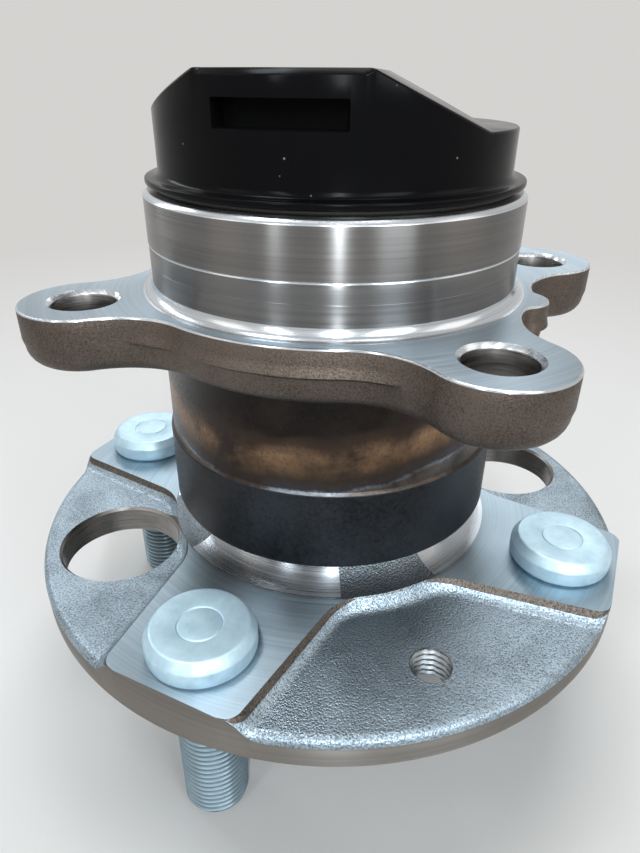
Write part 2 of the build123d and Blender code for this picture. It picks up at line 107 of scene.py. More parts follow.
CAP_RIM_R = (CAP_HIGH[0] - CAP_LOW[0]) / 2

# Wheel flange
FLANGE_T = 8.5
WEB_DROP = 2.3
WEB_DRAFT = radians(35)
RIM_CHAMFER = 0.7
RIM_ROUND = 1.4
PAD_HALF_W = STUD_HEAD_R + 4.2  # at the stud circle
PAD_TAPER = radians(6.4)
PAD_CORNER_R = 5.5
PAD_THROAT_R = 8.0
PAD_INSET = 0.7
PAD_FLANK = 3.2
TIP_BLEND = 5.0
PAD_FILLET = 1.5
GRID_STEP = 0.42
# Grid columns in one eighth of the flange: all, on half a pad, on its flank, on the painted shade along
# the flank, and on the turned part of the boss
EIGHTH, PAD_COLUMNS, WALL_COLUMNS = 92, 32, 28
SHADE_COLUMNS, BOSS_COLUMNS = 8, 26
FACE_RELIEF_R = 36.0
FACE_RELIEF = 0.6
WHEEL_PILOT_CHAMFER = 1.5
CUP_WALL = 6.5
CUP_DEPTH = 14.0
CUP_FLOOR_R = 7.0
CUP_DRAFT = radians(8)
FOOT_R = PILOT_R + 0.6
BOSS_R = 27.0
BOSS_Z = RING_Z - 1.3
BOSS_FOOT_CURVE = 0.85
SHAFT_FOOT_R = 18.0
ACCESS_R = 11.7
ACCESS_CIRCLE_R = hypot(BOLT_X, BOLT_Y) + 0.8
TAP_CORE_R = dims_of("puller_threads")["hole_r_mm"]
TAP_PITCH = 1.25

# Wheel studs
STUD_HOLE_R = 6.35
THREAD_L = 26.0
THREAD_PITCH = 1.25
THREAD_LEAD_IN = 1.2
# Head from the pad up, as (inset, height), then as (inset, sink) and (radius, sink) from its top
HEAD_FOOT = ((0.5, 0), (0.08, 0.45), (0, 0.9))
HEAD_EDGE = ((0, 1.85), (0.05, 1.65), (0.18, 1.45), (1.0, 0.25), (1.13, 0.1), (1.3, 0.02), (1.6, 0))
HEAD_GROOVE = ((4.15, 0.03), (3.95, 0.08), (3.75, 0.24), (3.55, 0.08), (3.35, 0.05), (0.5, 0.1))

# Outer ring
FACE_Z = END_Z - 17.0
EAR_T = 9.9
EAR_EDGE_R = 3.4
RIDGE_Z = FACE_Z - 4.3
WAIST_R = PILOT_R + 3.4
WAIST_BLEND_R = 14.0
NOSE_R = 5.0
NOSE_X = PILOT_R + 6.2 - NOSE_R
NOSE_BLEND_R = 2.5
NECK_R = PILOT_R - 0.9
BAND_R = PILOT_R - 0.4
BAND_TOP = RING_Z + 15.5
BOLT_CHAMFER = 0.75
PILOT_CHAMFER_Z = END_Z - 0.75
LINE_Z = PILOT_CHAMFER_Z - 7.9
PILOT_ROOT_R = 1.8
OUTLINE_STEP = 0.45

# Bearing rows
BALL_R = 5.5
BALL_COUNT = 11
PITCH_R = (box_mm("inboard_balls")[1][1] - BALL_R) / cos(pi / BALL_COUNT / 2)
RACEWAY_R = 5.58
RACE_R = PITCH_R + RACEWAY_R
OUTBOARD_Z = RING_Z + 14.0
INBOARD_Z = RING_Z + 37.0
SEAT_R = 28.0
CAP_SEAT_R = 28.8

# Sensor cap
CAP_TURN = radians(4.5)
CAP_BODY_R = CAP_RIM_R - 2.3
CAP_RIM_Z = END_Z + 1.0
CAP_FOOT_Z = END_Z + 2.0
ROOF_SKEW = radians(9)  # the ridge lies a little askew to the slot and the socket
ROOF_LEFT = -16.92
ROOF_RIGHT = 7.78
ROOF_FALL = radians(25.4)
ROOF_BEND = 0.4
SHELF_DROP = 7.9
CAP_FOOT_R = 1.1
CAP_EDGE_R = 0.3
SLOT_W = 19.5
SLOT_H = 3.9
SLOT_DEPTH = 6.0
SLOT_LOW = CAP_TOP - 7.35
SOCKET_W = 13.0
SOCKET_H = 8.0
SOCKET_DEPTH = 10.0
SOCKET_LOW = CAP_TOP - 12.2


# ---- node materials


class Nodes:
    """A node tree under construction."""

    def __init__(self, tree):
        self.tree = tree

    def feed(self, target, value):
        """Puts a socket, a number or a colour on an input."""
        if isinstance(value, bpy.types.NodeSocket):
            self.tree.links.new(value, target)
        else:
            target.default_value = (*value, 1) if target.type == "RGBA" else value

    def add(self, kind, inputs=None, **settings):
        """New node, with its inputs given by name or number."""
        node = self.tree.nodes.new(kind)
        for key, value in settings.items():
            setattr(node, key, value)
        for key, value in (inputs or {}).items():
            self.feed(node.inputs[key], value)
        return node

    def math(self, operation, a, b=0.0):
        return self.add("ShaderNodeMath", {0: a, 1: b}, operation=operation).outputs[0]

    def seen(self):
        """1 for camera, glossy and transmission rays, which see the backdrop, and 0 for others."""
        path = self.add("ShaderNodeLightPath").outputs
        indirect = self.math("MAXIMUM", path["Is Glossy Ray"], path["Is Transmission Ray"])
        return self.math("MAXIMUM", path["Is Camera Ray"], indirect)


class Paint(Nodes):
    """A material under construction, with coordinates in millimetres round the bearing axis."""

    def __init__(self, name, metallic, roughness):
        self.material = bpy.data.materials.new(name)
        self.material.use_nodes = True
        super().__init__(self.material.node_tree)
        self.shader = self.tree.nodes["Principled BSDF"]
        self.feed(self.shader.inputs["Metallic"], metallic)
        self.rough(roughness)
        coords = self.add("ShaderNodeTexCoord").outputs["Object"]
        scaled = self.add("ShaderNodeVectorMath", {0: coords, "Scale": 1 / MM}, operation="SCALE")
        self.place = scaled.outputs[0]
        self.x, self.y, self.z = self.add("ShaderNodeSeparateXYZ", {0: self.place}).outputs

    def weighted(self, *terms):
        """Sum of (value, weight) terms."""
        total = None
        for value, weight in terms:
            part = self.math("MULTIPLY", value, weight)
            total = self.math("ADD", total, part) if total else part
        return total

    def length(self, a, b):
        """Length of a vector from its two components."""
        squares = self.math("ADD", self.math("MULTIPLY", a, a), self.math("MULTIPLY", b, b))
        return self.math("SQRT", squares)

    def radius(self):
        """Distance from the bearing axis."""
        return self.length(self.x, self.y)

    def stud_radius(self):
        """Distance from the nearest stud's axis: the studs lie on two lines through the axis."""
        c, s = cos(HUB_TURN), sin(HUB_TURN)
        along = self.math("ABSOLUTE", self.weighted((self.x, c), (self.y, s)))
        across = self.math("ABSOLUTE", self.weighted((self.y, c), (self.x, -s)))
        out = self.math("SUBTRACT", self.math("MAXIMUM", along, across), STUD_CIRCLE_R)
        return self.length(out, self.math("MINIMUM", along, across))

    def turned(self, lines_per_mm, waver=1.5):
        """Coordinates in which noise becomes lines round the axis."""
        r = self.radius()
        around = [self.math("MULTIPLY", self.math("DIVIDE", a, r), waver) for a in (self.x, self.y)]
        across = self.math("MULTIPLY", self.math("SUBTRACT", self.z, r), lines_per_mm)
        return self.add("ShaderNodeCombineXYZ", dict(enumerate((*around, across)))).outputs[0]

    def stretched(self, scale, rotation=(0, 0, 0)):
        """Coordinates in which noise is drawn out one way."""
        inputs = {"Vector": self.place, "Rotation": rotation, "Scale": scale}
        return self.add("ShaderNodeMapping", inputs).outputs[0]

    def noise(self, scale, detail=3.0, rough=0.5, vector=None, distortion=0.0):
        inputs = {"Vector": vector or self.place, "Scale": scale, "Detail": detail}
        inputs |= {"Roughness": rough, "Distortion": distortion}
        return self.add("ShaderNodeTexNoise", inputs).outputs["Fac"]

    def cells(self, scale):
        """Distance from the nearest of scattered points."""
        inputs = {"Vector": self.place, "Scale": scale}
        return self.add("ShaderNodeTexVoronoi", inputs).outputs["Distance"]

    def spread(self, value, low, high, to_low=0.0, to_high=1.0):
        """Maps low..high to to_low..to_high and clamps."""
        inputs = {"Value": value, "From Min": low, "From Max": high}
        inputs |= {"To Min": to_low, "To Max": to_high}
        return self.add("ShaderNodeMapRange", inputs).outputs[0]

    def ramp(self, value, *stops):
        """Colour ramp of (position, colour) stops."""
        node = self.add("ShaderNodeValToRGB", {0: value})
        elements = node.color_ramp.elements
        while len(elements) < len(stops):
            elements.new(1.0)
        for element, (position, colour) in zip(elements, stops):
            element.position = position
            element.color = (*colour, 1)
        return node.outputs[0]

    def mix(self, factor, a, b):
        """Colour between a and b."""
        return self.add("ShaderNodeMix", {0: factor, 6: a, 7: b}, data_type="RGBA").outputs[2]

    def colour(self, value):
        self.feed(self.shader.inputs["Base Color"], value)

    def rough(self, value):
        self.feed(self.shader.inputs["Roughness"], value)

    def gloss(self, value):
        self.feed(self.shader.inputs["Specular IOR Level"], value)

    def bump(self, *layers):
        """Bump from (height, depth in micrometres) layers."""
        normal = None
        for height, depth in layers:
            node = self.add("ShaderNodeBump", {"Distance": depth * 1e-6, "Height": height})
            if normal:
                self.feed(node.inputs["Normal"], normal)
            normal = node.outputs[0]
        self.feed(self.shader.inputs["Normal"], normal)


def times(colour, factor):
    """A lighter or darker colour."""
    return tuple(c * factor for c in colour)


def ground_steel(name, tone, roughness, lines, depth, streak=0.7):
    """Turned or ground steel: lines round the axis that draw reflections out across them."""
    p = Paint(name, 1.0, roughness)
    fine = p.noise(1.0, 4.0, 0.65, p.turned(lines, 0.5))
    wide = p.noise(1.0, 3.0, 0.6, p.turned(lines / 7, 0.25))
    smear = p.noise(0.06, 3.0, 0.5)
    both = p.weighted((fine, 0.6), (wide, 0.4))
    lined = p.ramp(both, (0.36, times(tone, 0.72)), (0.62, times(tone, 1.15)))
    p.colour(p.mix(0.35, lined, tone))
    uneven = p.math("ADD", fine, smear)
    p.rough(p.spread(uneven, 0.7, 1.3, roughness - 0.05, roughness + 0.08))
    p.feed(p.shader.inputs["Anisotropic"], streak)
    p.feed(p.shader.inputs["Anisotropic Rotation"], 0.25)
    tangent = p.add("ShaderNodeTangent", direction_type="RADIAL", axis="Z")
    p.feed(p.shader.inputs["Tangent"], tangent.outputs[0])
    p.bump((fine, depth), (wide, depth * 1.5))
    return p.material


def bored_steel(name, tone, roughness):
    """Wall of a bored hole: fine rings across a vertical hole."""
    p = Paint(name, 1.0, roughness)
    rings = p.noise(1.0, 4.0, 0.65, p.stretched((0.12, 0.12, 3.0)))
    cloud = p.noise(0.25, 3.0, 0.6)
    both = p.weighted((rings, 0.7), (cloud, 0.3))
    p.colour(p.ramp(both, (0.36, times(tone, 0.6)), (0.62, tone)))
    p.rough(p.spread(rings, 0.3, 0.7, roughness - 0.06, roughness + 0.1))
    p.bump((rings, 8))
    return p.material


def forged_steel(name, dark, light, grain, depth, roughness):
    """Forged or blasted skin: bright grains, pits and broad patches."""
    p = Paint(name, 0.9, roughness)
    grains = p.noise(grain, 6.0, 0.75)
    pits = p.spread(p.cells(grain * 0.9), 0.0, 0.6)
    patches = p.noise(0.07, 4.0, 0.6, distortion=0.6)
    tone = p.weighted((grains, 0.8), (patches, 0.35), (pits, 0.12))
    middle = tuple((a + b) / 2 for a, b in zip(dark, light))
    p.colour(p.ramp(tone, (0.48, dark), (0.62, middle), (0.74, light)))
    p.rough(p.spread(grains, 0.35, 0.65, roughness + 0.12, roughness - 0.12))
    p.bump((patches, depth * 5), (pits, depth * 1.6), (grains, depth * 1.4))
    return p.material


def heat_tinted_shaded_steel():
    """Neck of the outer ring: tempering colours over brown skin, a pale fringe near the band, and painted
    shade that darkens its top to near black under the ears.
    """
    p = Paint("neck_heat_tint_and_shade", 1.0, 0.3)
    wave = p.noise(0.09, 3.0, 0.5, distortion=0.8)
    grain = p.noise(1.9, 5.0, 0.7)
    patch = p.noise(0.085, 4.0, 0.6, distortion=0.25)
    squares = [p.math("MULTIPLY", side, side) for side in (p.x, p.y)]
    swing = p.math("DIVIDE", p.math("SUBTRACT", *squares), p.math("ADD", *squares))
    fringe = p.math("ADD", BAND_TOP + 1.0, p.weighted((swing, 2.6), (wave, 3.0)))
    above = p.math("ADD", p.math("SUBTRACT", p.z, fringe), p.math("MULTIPLY", grain, 0.7))
    tint_and_shade = p.ramp(
        p.spread(above, -4.0, 14.0),
        (0.00, (0.12, 0.10, 0.088)),
        (0.205, (0.15, 0.125, 0.11)),
        (0.232, (0.24, 0.275, 0.31)),
        (0.262, (0.06, 0.056, 0.062)),
        (0.36, (0.06, 0.044, 0.034)),
        (0.50, (0.215, 0.128, 0.072)),
        (0.62, (0.275, 0.17, 0.10)),
        # painted shade: the last two stops darken the neck to near black towards its top, under the ears
        (0.74, (0.075, 0.05, 0.036)),
        (0.86, (0.018, 0.015, 0.014)),
    )
    patched = p.mix(p.spread(patch, 0.35, 0.62), (0.035, 0.027, 0.023), tint_and_shade)
    p.colour(p.mix(p.spread(grain, 0.5, 0.72, 0.0, 0.7), patched, (0.04, 0.03, 0.025)))
    p.rough(p.spread(grain, 0.3, 0.7, 0.26, 0.42))
    p.bump((grain, 22), (p.noise(1.0, 3.0, 0.6, p.turned(1.2, 0.4)), 12))
    return p.material


def hardened_band():
    """Dark satin band at the outer ring's wheel end."""
    p = Paint("hardened_band", 0.9, 0.42)
    grain = p.noise(1.3, 5.0, 0.7)
    streak = p.noise(1.0, 3.0, 0.6, p.turned(1.6, 3.0))
    cloud = p.noise(0.06, 3.0, 0.6)
    tone = p.weighted((grain, 0.55), (cloud, 0.5))
    p.colour(p.ramp(tone, (0.35, (0.009, 0.009, 0.010)), (0.62, (0.034, 0.036, 0.040))))
    p.rough(p.spread(grain, 0.3, 0.7, 0.34, 0.52))
    p.bump((grain, 18), (streak, 10))
    return p.material


def zinc_plate():
    """Pale blue-white plating with scratches and marks, and painted shade: dim on the thread below the
    flange and dark in its roots.
    """
    p = Paint("zinc_plate", 0.5, 0.42)
    cloud = p.noise(0.35, 4.0, 0.6)
    grain = p.noise(3.0, 4.0, 0.6)
    drawn = p.stretched((0.35, 5.0, 0.35), rotation=(0.3, 0.2, 0.7))
    scratch = p.spread(p.noise(1.0, 5.0, 0.75, drawn), 0.66, 0.74)
    scuffs = p.spread(p.noise(0.9, 6.0, 0.8), 0.62, 0.7)
    base = p.ramp(cloud, (0.35, (0.43, 0.60, 0.695)), (0.65, (0.54, 0.715, 0.81)))
    marked = p.mix(p.math("MULTIPLY", scratch, 0.45), base, (0.24, 0.26, 0.27))
    handled = p.mix(p.math("MULTIPLY", scuffs, 0.5), marked, (0.20, 0.21, 0.22))
    # painted shade: the thread under the flange is dimmed, most of all in its roots
    painted_thread_shade = p.spread(p.stud_radius(), STUD_R - 0.45, STUD_R - 0.15, 0.2, 0.46)
    above_thread = p.spread(p.z, -0.4, 0.0)
    p.colour(p.mix(p.math("MAXIMUM", painted_thread_shade, above_thread), (0.0, 0.0, 0.0), handled))
    p.rough(p.spread(p.math("ADD", grain, scratch), 0.3, 1.2, 0.36, 0.56))
    p.bump((grain, 6), (scratch, -14))
    return p.material


def black_plastic():
    """Glossy black moulding with faint flow marks and a few specks of dust."""
    p = Paint("cap_plastic", 0.0, 0.14)
    flow = p.noise(0.12, 3.0, 0.5)
    grain = p.noise(2.2, 3.0, 0.6)
    specks = p.spread(p.cells(0.42), 0.075, 0.04)
    dust = p.math("MULTIPLY", specks, p.spread(p.noise(0.3, 2.0), 0.52, 0.6))
    p.colour(p.mix(dust, (0.003, 0.003, 0.0035), (0.20, 0.20, 0.20)))
    p.rough(p.spread(p.weighted((flow, 0.7), (dust, 0.8)), 0.2, 0.9, 0.12, 0.4))
    p.gloss(0.065)
    p.bump((flow, 12), (grain, 1.0))
    return p.material


def plain_moulding(name, colour, roughness, gloss=0.5):
    """Moulded plastic or rubber with fine mottling."""
    p = Paint(name, 0.0, roughness)
    mottle = p.noise(1.5, 4.0, 0.6)
    p.colour(p.ramp(mottle, (0.35, times(colour, 0.75)), (0.65, times(colour, 1.25))))
    p.rough(p.spread(mottle, 0.3, 0.7, roughness - 0.08, roughness + 0.08))
    p.gloss(gloss)
    p.bump((mottle, 8))
    return p.material


def clean_metal(name, haze, dull, bright, roughness, rough_to, depth):
    """Lapped or plated metal with a faint haze: dull and bright are (share, colour) stops."""
    p = Paint(name, 1.0, roughness)
    cloud = p.noise(haze, 3.0, 0.6)
    p.colour(p.ramp(cloud, dull, bright))
    p.rough(p.spread(cloud, 0.3, 0.7, *rough_to))
    p.bump((cloud, depth))
    return p.material


GROUND = ground_steel("pilot_ground", (0.19, 0.184, 0.179), 0.31, 3.4, 1.5, 0.99)
TURNED = ground_steel("pilot_turned", (0.175, 0.175, 0.175), 0.31, 1.8, 4, 0.98)
# much brighter steel for chamfers and edges: painted highlight lines
HIGHLIGHT_EDGE = ground_steel("highlight_edge", (0.66, 0.70, 0.74), 0.22, 3.0, 1.5, 0.6)
FACED = ground_steel("ear_face", (0.35, 0.425, 0.485), 0.38, 2.6, 2, 0.8)
PAD_FACED = ground_steel("pad_face", (0.34, 0.425, 0.485), 0.34, 2.8, 1.5, 0.9)
BOSS_TURNED = ground_steel("boss_turned", (0.60, 0.64, 0.68), 0.26, 3.0, 0.5, 0.9)
RIM_TURNED = ground_steel("rim_turned", (0.22, 0.204, 0.186), 0.44, 3.0, 4, 0.9)
SHEET = ground_steel("sheet_steel", (0.50, 0.50, 0.50), 0.35, 2.0, 8)
RACE = ground_steel("race_steel", (0.58, 0.58, 0.58), 0.2, 4.0, 3)
BORED = bored_steel("bored_wall", (0.28, 0.265, 0.25), 0.3)
TAPPED = bored_steel("tapped_wall", (0.30, 0.335, 0.36), 0.32)
EAR_SKIN = forged_steel("ear_skin", (0.046, 0.035, 0.029), (0.135, 0.108, 0.090), 3.4, 20, 0.5)
WEB_SKIN = forged_steel("web_skin", (0.034, 0.042, 0.048), (0.385, 0.475, 0.545), 2.9, 34, 0.37)
# darker copy of the web skin: painted shade on the forged foot between the pads, under the outer ring
SHADED_FOOT_SKIN = forged_steel("foot_skin_shaded", (0.025, 0.027, 0.03), (0.26, 0.30, 0.33), 2.8, 32, 0.40)
# near black forged skin: painted shade along the pads' sides and tips and in the tapped threads' roots
PAINTED_EDGE_SHADE = forged_steel("edge_shade", (0.012, 0.011, 0.010), (0.14, 0.12, 0.105), 2.9, 30, 0.45)
NECK_TINT_AND_SHADE = heat_tinted_shaded_steel()
BAND_DARK = hardened_band()
ZINC = zinc_plate()
CAP_BLACK = black_plastic()
# near black, matt inside of the slot and socket: painted shade
CAP_SHADE = plain_moulding("cap_inside_shade", (0.002, 0.002, 0.002), 0.7, gloss=0.1)
CAGE = plain_moulding("cage_plastic", (0.55, 0.42, 0.24), 0.5)
RUBBER = plain_moulding("seal_rubber", (0.02, 0.02, 0.02), 0.5)
MAGNET = plain_moulding("magnet_rubber", (0.035, 0.033, 0.03), 0.55)
CHIP = plain_moulding("chip_plastic", (0.02, 0.02, 0.022), 0.4)
BALL_STEEL = clean_metal(
    "ball_steel", 1.2, (0.3, (0.62, 0.62, 0.64)), (0.7, (0.74, 0.74, 0.75)), 0.08, (0.06, 0.13), 0.8
)
CONTACT = clean_metal(
    "terminal_metal", 1.8, (0.35, (0.62, 0.56, 0.42)), (0.6, (0.76, 0.74, 0.68)), 0.3, (0.24, 0.4), 5
)


# ---- mesh tools


def unit(angles):
    """Points on a circle of radius 1."""
    return np.column_stack([np.cos(angles), np.sin(angles)])


def at_height(points, z):
    """Flat points raised to one height, or to one height each."""
    return np.column_stack([points, np.full(len(points), z)])


def ring_of(radius, z, angles):
    """Circle of points about the axis. Radius and height may also differ from point to point."""
    return at_height(np.reshape(radius, (-1, 1)) * unit(angles), z)


def skin(rings, zones):
    """Quads between successive rings of equal length. zones has one value per strip."""
    count = len(rings[0])
    here = np.arange(count)
    after = (here + 1) % count
    faces, paint = [], []
    for i, zone in enumerate(zones):
        a, b = i * count, (i + 1) * count
        faces += np.column_stack([a + here, a + after, b + after, b + here]).tolist()
        paint += np.broadcast_to(zone, count).tolist()
    return faces, paint


def capped(rings, zones, low_zone, high_zone):
    """Mesh of a skin whose first and last rings are closed by one face each."""
    faces, paint = skin(rings, zones)
    count = len(rings[0])
    last = (len(rings) - 1) * count
    faces += [list(range(count)), list(range(last, last + count))]
    return np.vstack(rings), faces, paint + [low_zone, high_zone]


def new_object(name, data):
    obj = bpy.data.objects.new(name, data)
    bpy.context.scene.collection.objects.link(obj)
    return obj


def mesh_object(name, verts, faces, paint, materials):
    """Object from points in millimetres, with outward faces."""
    mesh = bpy.data.meshes.new(name)
    mesh.from_pydata((np.asarray(verts) * MM).tolist(), [], faces)
    for material in materials:
        mesh.materials.append(material)
    mesh.polygons.foreach_set("material_index", paint)
    work = bmesh.new()
    work.from_mesh(mesh)
    bmesh.ops.recalc_face_normals(work, faces=work.faces)
    work.to_mesh(mesh)
    work.free()
    return new_object(name, mesh)


def merge_meshes(parts):
    """Several (verts, faces, paint) groups as one."""
    verts, faces, paint = [], [], []
    for v, f, p in parts:
        start = sum(len(x) for x in verts)
        verts.append(np.asarray(v))
        faces += [[i + start for i in face] for face in f]
        paint += p
    return np.vstack(verts), faces, paint


def placed(mesh, x, y):
    """A (verts, faces, paint) group moved sideways."""
    verts, faces, paint = mesh
    return verts + [x, y, 0], faces, paint


def discard(obj):
    """Removes an object and its mesh."""
    mesh = obj.data
    bpy.data.objects.remove(obj)
    bpy.data.meshes.remove(mesh)


def cut(obj, cutters):
    """Takes (verts, faces, paint) cutters out of obj, for good."""
    cutter = mesh_object("cutter", *merge_meshes(cutters), obj.data.materials)
    step = obj.modifiers.new("cut", "BOOLEAN")
    step.operation = "DIFFERENCE"
    step.solver = "MANIFOLD"
    step.object = cutter
    graph = bpy.context.evaluated_depsgraph_get()
    mesh = bpy.data.meshes.new_from_object(obj.evaluated_get(graph))
    obj.modifiers.clear()
    old = obj.data
    obj.data = mesh
    bpy.data.meshes.remove(old)
    discard(cutter)


def join(obj, other):
    """Adds other's faces to obj. Both have the same materials."""
    work = bmesh.new()
    work.from_mesh(obj.data)
    work.from_mesh(other.data)
    work.to_mesh(obj.data)
    work.free()
    discard(other)


def finish_piece(obj, body, slot, *nodes, sharp=28):
    """Smooth shading between sharp edges, and the piece's place in the frame."""
    obj.data.shade_smooth()
    obj.data.set_sharp_from_angle(angle=radians(sharp))
    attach(obj, body)
    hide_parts(*nodes)


def quarter(radius, count=4):
    """(along, across) offsets round a quarter circle from its corner: (0, radius) to (radius, 0)."""
    steps = np.linspace(0, pi / 2, count + 1)
    return [(radius * (1 - cos(t)), radius * (1 - sin(t))) for t in steps]


def thread_depth(turns, pitch):
    """Depth of a V thread with flat crests at a phase given in turns."""
    phase = np.abs((turns % 1.0) - 0.5) * 2
    return 0.61 * pitch * np.clip((phase - 0.12) / 0.76, 0, 1)


def closed_lathe(profile, zones, columns):
    """Lathe of a (radius, height) line that starts and ends on the axis."""
    angles = np.arange(columns) * TAU / columns
    rings = [ring_of(r, z, angles) for r, z in profile[1:-1]]
    verts = np.vstack(rings + [[[0, 0, profile[0][1]]], [[0, 0, profile[-1][1]]]])
    faces, paint = skin(rings, zones[1:-1])
    low, high = len(verts) - 2, len(verts) - 1
    last = (len(rings) - 1) * columns
    for j in range(columns):
        k = (j + 1) % columns
        faces += [[low, k, j], [high, last + j, last + k]]
        paint += [zones[0], zones[-1]]
    return verts, faces, paint


# ---- outer ring


def direction(point):
    return atan2(point[1], point[0])


def wrapped(angle):
    """The same angle between -pi and pi."""
    return (angle + pi) % TAU - pi


def bridge(centre, radius, blend, side):
    """Centre of a fillet circle outside the waist and a lobe, on the lobe's left where side is +1."""
    gap = np.linalg.norm(centre)
    d1, d2 = WAIST_R + blend, radius + blend
    heading = direction(centre) + side * acos((gap**2 + d1**2 - d2**2) / (2 * gap * d1))
    return d1 * np.array([cos(heading), sin(heading)])


def lobe(centre, radius, blend):
    """Arcs round one lobe on the waist: fillet, lobe, fillet. Also the waist angles at both ends."""
    centre = np.array(centre, float)
    before, after = (bridge(centre, radius, blend, side) for side in (-1, 1))

    def fillet(middle, start, end):
        return middle, blend, start, wrapped(end - start)

    enter, leave = direction(before - centre), direction(after - centre)
    arcs = [
        fillet(before, direction(-before), direction(centre - before)),
        (centre, radius, enter, (leave - enter) % TAU),
        fillet(after, direction(centre - after), direction(-after)),
    ]
    return arcs, direction(before), direction(after)


def flange_arcs():
    """Outline of the knuckle flange as arcs, counterclockwise from the nose."""
    lobes = [lobe((NOSE_X, 0), NOSE_R, NOSE_BLEND_R)]
    for sx, sy in ((1, 1), (-1, 1), (-1, -1), (1, -1)):
        lobes.append(lobe((sx * BOLT_X, sy * BOLT_Y), EAR_R, WAIST_BLEND_R))
    arcs = []
    for i, (pieces, _, end) in enumerate(lobes):
        following = lobes[(i + 1) % len(lobes)][1]
        arcs += [*pieces, ((0, 0), WAIST_R, end, (following - end) % TAU)]
    return arcs


def outline_points(arcs, inset=0.0):
    """Points along (centre, radius, start, sweep) arcs, as many at every inset."""
    points = []
    for centre, radius, start, sweep in arcs:
        count = max(2, ceil(abs(sweep) * radius / OUTLINE_STEP))
        angles = start + sweep * np.arange(count) / count
        points.append(centre + (radius - inset if sweep > 0 else radius + inset) * unit(angles))
    return np.vstack(points)


